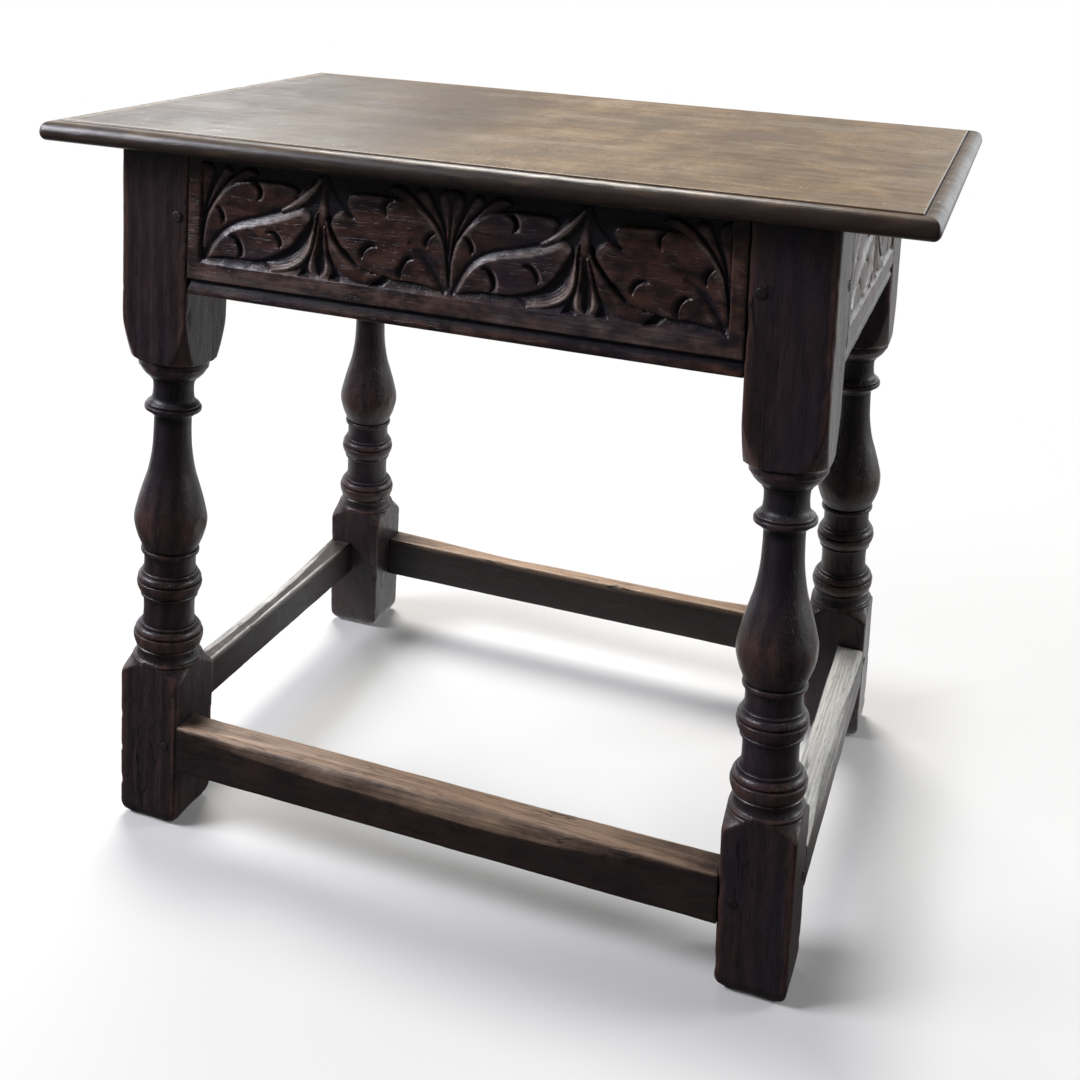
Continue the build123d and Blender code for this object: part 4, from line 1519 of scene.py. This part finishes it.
@dataclass(frozen=True)
class TurnedLeg:
    """A canted leg: a square stick, turned between its two blocks, with a worn foot."""

    name: str
    x_side: int
    y_side: int
    turning: Turning
    drop: float = 0.0
    arris: float = 2.6
    foot_wear: float = 13.0
    around: int = 144               # points on a ring
    seed: int = 1

    def centre(self, z: np.ndarray) -> np.ndarray:
        """The middle of the square stick at heights."""
        half = FRAMING.leg_square / 2
        x = self.x_side * (FRAMING.half_length(z) - half)
        y = self.y_side * (FRAMING.half_width(z) - half)
        return np.stack([x, y, z], -1)

    def square_radius(self, gx: np.ndarray, gy: np.ndarray) -> np.ndarray:
        """Distance along a direction to the side of a square with rounded corners.

        Where the ray meets a flat, it is half the side over the larger part of the direction.
        Where it meets a corner, it is the farther root of the distance to the corner's circle.

        Args:
            gx: the direction's first part, across the stick.
            gy: its second part.

        Returns:
            Distances.
        """
        half = FRAMING.leg_square / 2
        inner = half - self.arris
        ax, ay = np.abs(gx), np.abs(gy)
        large, small = np.maximum(ax, ay), np.minimum(ax, ay)
        flat = half / large
        size = ax * ax + ay * ay
        reach = inner * (ax + ay)
        root = np.sqrt(np.clip(reach**2 - size * (2 * inner**2 - self.arris**2), 0, None))
        return np.where(flat * small <= inner, flat, (reach + root) / size)

    def rings(self) -> tuple[np.ndarray, np.ndarray]:
        """Heights of the leg's rings on its axis, and the radius that each is turned to.

        Returns:
            Heights and radii; where the leg is square, the radius is past its corners.
        """
        height, radius = self.turning.profile(self.drop)
        low = spaced((0.0, 0.6), (self.foot_wear, 2.6), (height[0], 1.0))[:-1]
        high = spaced((height[-1], 2.8), (FRAMING.top - 3, 1.0), (FRAMING.top, 1.0))[1:]
        clear = self.turning.clear
        radii = np.concatenate([np.full(len(low), clear), radius, np.full(len(high), clear)])
        return np.concatenate([low, height, high]), radii

    def surface_wear(
        self, rows: np.ndarray, radius: np.ndarray, square: np.ndarray, blocky: np.ndarray
    ) -> tuple[np.ndarray, np.ndarray]:
        """How the leg is rubbed and soiled.

        The blocks' arrises, the rings that stand out and the baluster's belly are rubbed. The hollows between
        rings, the necks and the foot are dirty, and the head, close under the top, is darkened as painted
        shade.

        Args:
            rows: the rings' heights.
            radius: their turned radii.
            square: distance to the square stick's side at each point.
            blocky: how much each point is on a block, from 0 to 1.

        Returns:
            Rub, and grime with painted shade.
        """
        smooth = blur(np.repeat(radius[:, None], 3, axis=1), 4)[:, 1]
        proud = np.clip((radius - smooth) / 1.2, -1, 1)[:, None]
        radius = radius[:, None]
        belly = ease((radius - 19.0) / 7.0) * (1 - blocky)
        rub = 0.12 + blocky * self.at_corner(square) * 0.47
        rub = rub + (1 - blocky) * np.clip(proud, 0, 1) * 0.25 + belly * 0.3
        neck = 0.35 * (1 - ease((radius - 13.5) / 8))
        dirt_and_shade = (1 - blocky) * (np.clip(-proud, 0, 1) * 0.8 + neck)
        # Painted shade close under the top.
        head_shade = 0.55 * ease((rows - (FRAMING.top - 16)) / 16)[:, None]
        near_floor = 0.5 * (1 - ease(rows / 22))[:, None]
        return rub, np.clip(dirt_and_shade + head_shade + near_floor, 0, 1)

    @staticmethod
    def at_corner(square: np.ndarray) -> np.ndarray:
        """How near a direction is to a corner of the square stick, from 0 to 1."""
        return ease((square / (FRAMING.leg_square / 2) - 1.22) / 0.14)

    def build(self) -> bpy.types.Object:
        """Makes the leg.

        Each ring lies square to the slanting axis where the leg is turned, and level at its ends.
        Round the ring, the distance from the axis is the smaller of the square stick's and the
        turning's.

        Returns:
            The piece.
        """
        rows, radius = self.rings()
        top = FRAMING.top
        even = np.linspace(0, 2 * np.pi, self.around, endpoint=False)
        theta = even + 0.17 * np.sin(4 * even)      # closer together at the stick's four corners
        tilt = ease(rows / 60.0) * ease((top - rows) / 45.0)
        lean_x, lean_y = -self.x_side * FRAMING.length_cant, -self.y_side * FRAMING.width_cant
        z0, around = np.meshgrid(rows, theta, indexing="ij")
        way = np.stack([np.cos(around), np.sin(around), np.zeros_like(around)], -1)
        way[..., 2] = -tilt[:, None] * (lean_x * way[..., 0] + lean_y * way[..., 1])
        way /= np.sqrt((way**2).sum(-1, keepdims=True))
        square = self.square_radius(way[..., 0] - lean_x * way[..., 2], way[..., 1] - lean_y * way[..., 2])
        turned = np.repeat(radius[:, None], len(theta), axis=1)
        reach = soft_min(square, turned, 0.5)

        corner = self.at_corner(square)
        blocky = ease((turned - square) / 2.0)
        foot = np.clip(1 - rows / self.foot_wear, 0, 1)[:, None]
        worn_foot = self.foot_wear * (1 - np.sqrt(np.clip(1 - foot**2, 0, 1))) * (0.7 + 0.3 * corner)
        head = 0.6 * (1 - ease((top - rows) / 1.5))[:, None]
        spot = self.centre(z0) + reach[..., None] * way
        chips = np.clip(ripple(spot, (16, 16, 24), self.seed + 3), 0.35, 1) - 0.35
        broad, fine = ripple(spot, (34, 34, 60), self.seed), ripple(spot, (7, 7, 16), self.seed + 1)
        uneven = 0.13 + 0.13 * broad + 0.05 * fine
        worn = blocky * (uneven + 1.1 * corner * chips) + (1 - blocky) * 0.5 * uneven
        spot = self.centre(z0) + (reach - worn_foot - head - worn)[..., None] * way
        spot[..., 2] = np.clip(spot[..., 2], 0.0, top)

        rub, grime = self.surface_wear(rows, radius, square, blocky)
        offset = spot - self.centre(spot[..., 2])
        turn = 0.9 * self.seed                      # radians, so that no two legs show the same side
        across = offset[..., 0] * math.cos(turn) - offset[..., 1] * math.sin(turn)
        along = offset[..., 0] * math.sin(turn) + offset[..., 1] * math.cos(turn)
        timber = np.stack([spot[..., 2] + 1300 * self.seed, across, along], -1)
        piece = make_piece(self.name, [Tube(spot, rub, grime, timber)], DARK_OAK, crease=55)
        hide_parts(self.name.replace("turned_", ""))
        return piece


# --- top board -------------------------------------------------------------------------------
@dataclass(frozen=True)
class Stain:
    """A dark stain on the field: its middle, its reach along and across the board, and its strength."""

    x: float
    y: float
    length: float
    width: float
    strength: float

    def darkness(self, place: np.ndarray) -> np.ndarray:
        """How dark the stain makes places, from 0 to its strength, with a ragged edge."""
        ragged = 0.25 * ripple(place, (0.65 * self.length, self.width, 9), 77)
        out = np.hypot((place[..., 0] - self.x) / self.length, (place[..., 1] - self.y) / self.width) + ragged
        return self.strength * (1 - ease((out - 0.5) / 0.6))


@dataclass(frozen=True)
class TopBoard:
    """The seat: a board with a raised field, a quirk and a thumb moulding on all four edges."""

    length: float = 560.0
    width: float = 364.0
    field_margin: float = 11.0
    nose_drop: float = 8.0
    underside_inset: float = 4.5
    corner: float = 3.5
    crest_radius: float = 7.5
    crest_turn: float = 112.0       # degrees of the thumb, from its crest to the nose
    cell: float = 3.0
    stains: tuple[Stain, ...] = (
        Stain(141, -42, 25, 9, 0.42), Stain(121, -115, 14, 6, 0.40), Stain(-168, -56, 12, 6, 0.35),
        Stain(-112, -134, 10, 5, 0.30), Stain(95, 60, 30, 8, 0.20), Stain(-60, 90, 40, 9, 0.15),
        Stain(10, -60, 30, 6, 0.16), Stain(-310, 0, 330, 400, 0.62), Stain(290, 60, 130, 200, 0.22),
    )

    def profile(self) -> tuple[np.ndarray, np.ndarray]:
        """Inset from the nose and height of the board's section, from its middle round to its middle.

        Returns:
            Insets and heights above the floor.
        """
        top, under = FRAMING.height, FRAMING.top
        nose, margin, middle = top - self.nose_drop, self.field_margin, self.width / 2
        on_field = spaced((middle, self.cell), (margin + 3, 0.8), (margin + 0.7, 1.0))
        quirk = np.array([
            (margin + 0.3, top - 0.15), (margin + 0.05, top - 0.6), (margin - 0.1, top - 1.5),
            (margin - 0.5, top - 1.75), (margin - 1.1, top - 1.35),
        ])
        crest = np.radians(np.linspace(self.crest_turn, 0, 17))
        thumb = np.stack([1 - np.cos(crest), np.sin(crest)], 1) * self.crest_radius + (0, nose)
        lower = np.radians(np.linspace(0, 90, 9))[1:]
        nosing = np.stack([1 - np.cos(lower), -np.sin(lower)], 1) * self.underside_inset + (0, nose)
        below = spaced((self.underside_inset, 8.0), (middle, 1.0))[1:]
        field, underside = (
            np.stack([insets, np.full(len(insets), z)], 1) for insets, z in ((on_field, top), (below, under))
        )
        insets, heights = np.vstack([field, quirk, thumb, nosing, underside]).T
        return insets, heights

    def outline(self, inset: np.ndarray) -> tuple[np.ndarray, np.ndarray]:
        """Rectangles with rounded corners, one for each inset.

        Args:
            inset: distances in from the nose.

        Returns:
            x and y, with a row for each inset.
        """
        half_x, half_y = self.length / 2 - inset, self.width / 2 - inset
        radius = np.minimum(np.maximum(self.corner - inset, 0.25), half_y * 0.98 + 1e-6)
        arc = np.linspace(0, np.pi / 2, 7)
        corners = []
        for quarter, (side_x, side_y) in enumerate(((1, -1), (1, 1), (-1, 1), (-1, -1)), start=-1):
            angle = quarter * np.pi / 2 + arc
            corners.append((
                (side_x * (half_x - radius))[:, None] + radius[:, None] * np.cos(angle),
                (side_y * (half_y - radius))[:, None] + radius[:, None] * np.sin(angle),
            ))
        parts = []
        for corner, after, run in zip(corners, corners[1:] + corners[:1], (self.width, self.length) * 2):
            t = np.linspace(0, 1, round(run / self.cell) + 1)[1:-1]
            straight = [one[:, -1:] * (1 - t) + other[:, :1] * t for one, other in zip(corner, after)]
            parts += [corner, straight]
        x, y = (np.hstack(columns) for columns in zip(*parts))
        return x, y

    def build(self) -> bpy.types.Object:
        """Makes the board: its section is run round the four edges and mitred at the corners.

        The field has worn a little hollow and has dents. The thumb is knocked. Its quirk, the nose, the
        underside and the stains are dark, and the nose darkens downwards as painted shade.

        Returns:
            The piece.
        """
        inset, height = self.profile()
        x, y = self.outline(inset)
        top, margin = FRAMING.height, self.field_margin
        z = np.repeat(height[:, None], x.shape[1], axis=1)
        place = np.stack([x, y, z], -1)
        inset = inset[:, None]
        on_field = ease((inset - margin) / 6.0) * (z > top - 1)
        hollow = 0.18 + 0.14 * ripple(place, (190, 60, 50), 5) + 0.06 * ripple(place, (70, 16, 20), 6)
        dents = np.clip(ripple(place, (30, 22, 20), 8), 0.8, 1.2) - 0.8
        z = z - on_field * (np.clip(hollow, 0, 1) + 0.5 * dents)
        moulded = 1 - ease((inset - margin + 1) / 1.5)
        knocks = np.clip(ripple(place, (26, 26, 12), 9), 0.5, 1.2) - 0.5
        z = z - moulded * (z > top - self.nose_drop) * (0.05 + 0.35 * knocks)

        crest = np.exp(-(((inset - 6.5) / 3.0) ** 2)) * (z > top - 3)
        field_edge = np.exp(-(((inset - margin - 1.2) / 1.2) ** 2)) * (z > top - 1)
        streaks = 0.28 * np.clip(ripple(place, (120, 40, 20), 31), 0, 1) * on_field
        rub = np.clip(0.15 + 0.25 * crest + 0.12 * field_edge + streaks, 0, 1)
        quirk = np.exp(-(((inset - margin + 0.3) / 0.55) ** 2))
        under = 0.6 * (z < top - self.nose_drop - 1)
        # The moulding is darkened all round, more so towards its lower edge as painted shade, and less on the
        # crest.
        nosing = 0.8 + 0.15 * ease((top - 1.5 - z) / 4.0) - 0.2 * crest
        nosing = (nosing + 0.16 * ripple(place, (45, 6, 6), 41)) * moulded
        stained = np.max([stain.darkness(place) for stain in self.stains], axis=0) * on_field
        grime = np.clip(np.maximum(np.maximum(quirk, stained), np.maximum(under, nosing)), 0, 1)
        timber = np.stack([x, y + 30, z - top], -1)
        tube = Tube(np.stack([x, y, z], -1), rub, grime, timber, capped=False)
        piece = make_piece("moulded_top", [tube], TOP_OAK, crease=50, weld=True)
        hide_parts("top_board")
        return piece


# --- pegs ------------------------------------------------------------------------------------
@dataclass(frozen=True)
class PegPair:
    """The two riven pegs that draw a rail or a stretcher up to its legs."""

    facing: Facing
    member: str
    z: float
    setback: float
    radius: float = 4.2
    gap: float = 0.15               # round it in its bore
    depth: float = 30.0
    proud: float = 0.6
    facets: int = 8
    around: int = 32                # points on a ring

    def peg(self, end: int) -> Tube:
        """Makes one peg: whittled facets, a little tapered, with a worn domed head.

        Round the peg, the radius is that of a regular polygon with uneven flats.

        Args:
            end: -1 for the peg at the side's left end, 1 for its right end.

        Returns:
            Its skin.
        """
        rng = np.random.default_rng(500 + 10 * self.facing.value + (end > 0) + round(self.z))
        angle = np.linspace(0, 2 * np.pi, self.around, endpoint=False)
        width = 2 * np.pi / self.facets
        twist = rng.uniform(0, width)
        flats = rng.uniform(-0.25, 0.0, self.facets)[((angle + twist) / width).astype(int) % self.facets]
        facet = (angle + twist) % width - width / 2
        outline = (self.radius - self.gap) * math.cos(width / 2) / np.cos(facet) + flats
        deep, proud = -self.depth, self.proud
        run = np.array([deep, deep + 2, deep / 2, -1.0, -0.2, 0.15, 0.4, 0.52, proud])
        taper = np.array([0.7, 0.86, 0.94, 1.0, 1.0, 0.97, 0.88, 0.7, 0.35])
        out, turn = np.meshgrid(run, angle, indexing="ij")
        reach = taper[:, None] * outline
        x, height = reach * np.cos(turn), reach * np.sin(turn)
        lean = math.atan(self.facing.cant)
        seat = end * (self.facing.half_run(self.z) - FRAMING.leg_square + self.setback)
        y = -out * math.cos(lean) - self.facing.set_out(self.z)
        spot = np.stack([x + seat, y, height + out * math.sin(lean) + self.z], -1)
        head_edge = np.exp(-((reach / self.radius - 0.95) ** 2) / 0.02) * (out > -0.5)
        timber = np.stack([out * 6 + 300, x + 40 * end, height], -1)
        return Tube(self.facing.place(spot), np.full(out.shape, 0.15), np.clip(head_edge, 0, 0.8), timber)

    def build(self) -> bpy.types.Object:
        """Makes both pegs as one piece.

        Returns:
            The piece.
        """
        pegs = [self.peg(end) for end in (-1, 1)]
        piece = make_piece(f"{self.member}_pegs_{self.facing.label}", pegs, PEG_OAK, crease=35)
        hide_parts(f"{self.facing.label}_{self.member}_pegs")
        return piece


# --- the stool -------------------------------------------------------------------------------
@dataclass(frozen=True)
class JointStool:
    """The whole stool."""

    turning: Turning = field(default_factory=Turning)
    rear_drop: float = 6.0
    rail_peg_height: float = 49.0
    rail_peg_setback: float = 8.0
    stretcher_peg_setback: float = 10.5
    long_stretcher: tuple[float, float] = (53.5, 40.0)      # foot and height
    side_stretcher: tuple[float, float] = (63.0, 33.5)
    left_tread_and_sheen: float = 0.15        # the left stretcher has hardly been trodden on, and has none of the right one's painted sheen
    # The right stretcher's top is rubbed and lightened nearly to white: wear with a painted sheen.
    right_tread_and_sheen: float = 0.9

    def build(self) -> None:
        """Builds every sub-assembly and dresses it."""
        TopBoard().build()
        for seed, (x_side, y_side) in enumerate(((-1, -1), (1, -1), (-1, 1), (1, 1)), start=1):
            depth = "front" if y_side < 0 else "rear"
            across = "left" if x_side < 0 else "right"
            drop = 0.0 if y_side < 0 else self.rear_drop
            TurnedLeg(f"turned_leg_{depth}_{across}", x_side, y_side, self.turning, drop, seed=seed).build()
        band = CarvedBand(LeafCarving())
        for facing in Facing:
            CarvedRail(facing, band).build()
            foot, height = self.long_stretcher if facing.long else self.side_stretcher
            tread_and_sheen = self.left_tread_and_sheen if facing is Facing.LEFT else self.right_tread_and_sheen
            Stretcher(facing, foot, height, tread_and_sheen=tread_and_sheen).build()
            PegPair(facing, "rail", FRAMING.rail_foot + self.rail_peg_height, self.rail_peg_setback).build()
            PegPair(facing, "stretcher", foot + height / 2, self.stretcher_peg_setback).build()
        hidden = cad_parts["top_pegs"]
        hidden.data.materials.clear()
        hidden.data.materials.append(PEG_OAK.material())
        log.info("top_pegs: the blind pegs stay as they are built")


# --- the studio ------------------------------------------------------------------------------
@dataclass(frozen=True)
class Lamp:
    """A rectangular soft lamp that looks at a point."""

    name: str
    place: Colour
    target: Colour
    size: tuple[float, float]
    power: float
    colour: Colour = (1.0, 1.0, 1.0)

    def build(self) -> None:
        """Adds the lamp."""
        data = bpy.data.lights.new(self.name, "AREA")
        data.shape = "RECTANGLE"
        data.size, data.size_y = self.size
        data.energy = self.power
        data.color = self.colour
        lamp = bpy.data.objects.new(self.name, data)
        lamp.location = self.place
        aim = Vector(self.target) - Vector(self.place)
        lamp.rotation_euler = aim.to_track_quat("-Z", "Y").to_euler()
        bpy.context.scene.collection.objects.link(lamp)


@dataclass(frozen=True)
class Studio:
    """A pale floor, soft lamps, a white surround and the camera."""

    camera_place: Colour = (0.31163, -0.86642, 0.65906)
    camera_turn: Colour = (64.079, -2.362, 20.460)      # degrees about X, Y and Z
    lens: float = 42.756
    sensor: float = 36.0
    lamps: tuple[Lamp, ...] = (
        Lamp("window_behind", (-0.95, 1.5, 2.8), (0.0, 0.0, 0.1), (1.3, 1.3), 97.0, (1.0, 0.985, 0.96)),
        Lamp("window_right", (2.2, 1.0, 1.2), (0.0, 0.0, 0.3), (0.7, 0.9), 24.0, (0.96, 0.98, 1.0)),
        Lamp("window_left", (-1.6, -0.85, 1.65), (0.0, 0.0, 0.4), (0.8, 0.8), 56.0, (0.89, 0.91, 1.0)),
    )
    ambient_front: float = 0.05     # light from the side of the camera
    ambient_back: float = 0.32      # and from behind the stool
    ambient_colour: Colour = (0.93, 0.96, 1.0)
    floor_half: float = 6.0
    floor_paint: Colour = (0.70, 0.685, 0.665)
    floor_bounce: Colour = (0.34, 0.34, 0.35)           # the paint, for light that goes on to the stool
    floor_near: float = 0.03        # share of plain white in the floor at the feet and the stretchers
    floor_far: float = 0.74         # and a hand's breadth away from them
    inner_pace: float = 0.65        # how fast it changes inside the feet, against outside
    dim: float = 0.07               # what the polish reflects of the room on the camera's side
    bright_floor: float = 0.9       # and of the floor behind the stool
    sheen: float = 0.30             # and of the room above the horizon behind the stool
    wall: float = 0.45              # and of the wall straight behind it, between two windows
    left_window: float = 2.4
    right_window: float = 1.15
    tall_window: float = 1.9        # on the right, higher up
    sheen_colour: Colour = (0.93, 0.97, 1.0)

    def build(self) -> None:
        """Sets up the floor, the lamps, the surround and the camera."""
        self.floor()
        for lamp in self.lamps:
            lamp.build()
        self.surround()
        data = bpy.data.cameras.new("camera")
        data.lens, data.sensor_width = self.lens, self.sensor
        data.clip_start, data.clip_end = 0.01, 50.0
        camera = bpy.data.objects.new("camera", data)
        camera.location = self.camera_place
        camera.rotation_euler = Euler([math.radians(a) for a in self.camera_turn], "XYZ")
        bpy.context.scene.collection.objects.link(camera)
        bpy.context.scene.camera = camera
        bpy.context.scene.view_settings.view_transform = "Standard"

    @staticmethod
    def by_ray(g: Graph, white_share: Feed, plain: Socket, white: Socket, polish: Socket) -> Socket:
        """Shows one thing to the light, another to the camera and a third to the polish.

        Args:
            g: the tree.
            white_share: how much of the white the camera sees.
            plain: what lights and diffuse rays find.
            white: what the camera sees, also through glass.
            polish: what glossy rays find.

        Returns:
            The shader.
        """
        rays = g.node("ShaderNodeLightPath").outputs
        direct = g.math("MAXIMUM", rays["Is Camera Ray"], rays["Is Transmission Ray"])
        seen = g.either(g.times(white_share, direct), plain, white)
        return g.either(rays["Is Glossy Ray"], seen, polish)

    def floor(self) -> None:
        """Adds the floor: pale by the feet and the stretchers, passing to plain white further out."""
        half = self.floor_half
        mesh = bpy.data.meshes.new("floor")
        corners = [(-half, -half, 0), (half, -half, 0), (half, half, 0), (-half, half, 0)]
        mesh.from_pydata(corners, [], [(0, 1, 2, 3)])
        floor = bpy.data.objects.new("floor", mesh)
        bpy.context.scene.collection.objects.link(floor)
        material = new_material("pale_floor")
        g = Graph(material.node_tree)
        place = g.node("ShaderNodeTexCoord").outputs["Object"]
        distance = g.node("ShaderNodeVectorMath", {0: place}, operation="LENGTH").outputs["Value"]
        axes = g.node("ShaderNodeSeparateXYZ", {0: place}).outputs
        past_end = g.math("SUBTRACT", g.math("ABSOLUTE", axes["X"]), FRAMING.foot_length / 2 * MM)
        past_side = g.math("SUBTRACT", g.math("ABSOLUTE", axes["Y"]), FRAMING.foot_width / 2 * MM)
        past = g.math("MAXIMUM", past_end, past_side)
        gap = g.math("MAXIMUM", past, g.times(past, -self.inner_pace))
        near = g.spread(gap, 0.01, 0.12, self.floor_near, self.floor_far)
        share = g.math("MAXIMUM", near, g.spread(distance, 0.5, 1.3))
        bounced = g.node("ShaderNodeLightPath").outputs["Is Diffuse Ray"]
        paint = g.mix(bounced, self.floor_paint, self.floor_bounce)
        matte = g.node("ShaderNodeBsdfDiffuse", {"Color": paint}).outputs[0]
        behind = g.spread(axes["Y"], -0.07, 0.18, self.dim, self.bright_floor)
        behind = g.times(behind, g.spread(axes["X"], 0.2, 0.5, 1.0, 0.6))
        white, polish = (g.glow("ShaderNodeEmission", strength) for strength in (1.0, behind))
        g.node("ShaderNodeOutputMaterial", {"Surface": self.by_ray(g, share, matte, white, polish)})
        mesh.materials.append(material)

    def surround(self) -> None:
        """Sets the world: pale light, mostly from behind the stool, plain white where it is seen."""
        world = bpy.data.worlds.new("surround")
        bpy.context.scene.world = world
        world.use_nodes = True
        g = Graph(world.node_tree)
        way = g.node("ShaderNodeTexCoord").outputs["Generated"]
        axes = g.node("ShaderNodeSeparateXYZ", {0: way}).outputs
        soft = g.spread(axes["Y"], -0.5, 0.5, self.ambient_front, self.ambient_back)
        level = g.spread(axes["Z"], 0.05, 0.35, 1.0, self.sheen)
        tall = g.spread(axes["Z"], 0.15, 0.8, self.tall_window, self.sheen)
        level = g.math("MAXIMUM", level, g.times(tall, g.spread(axes["X"], 0.02, 0.2)))
        left = g.spread(axes["X"], -0.36, -0.58, self.wall, self.left_window)
        right = g.spread(axes["X"], -0.12, 0.04, self.wall, self.right_window)
        sides = g.math("MAXIMUM", left, right)
        shown = g.times(g.spread(axes["Y"], -0.3, 0.3, self.dim, 1.0), g.times(level, sides))
        light = g.glow("ShaderNodeBackground", soft, self.ambient_colour)
        white = g.glow("ShaderNodeBackground", 1.0)
        polish = g.glow("ShaderNodeBackground", shown, self.sheen_colour)
        g.node("ShaderNodeOutputWorld", {"Surface": self.by_ray(g, 1.0, light, white, polish)})


def main() -> None:
    """Builds the studio and the stool."""
    logging.basicConfig(level=logging.INFO, format="%(name)s: %(message)s")
    Studio().build()
    JointStool().build()


if __name__ == "__main__":
    main()
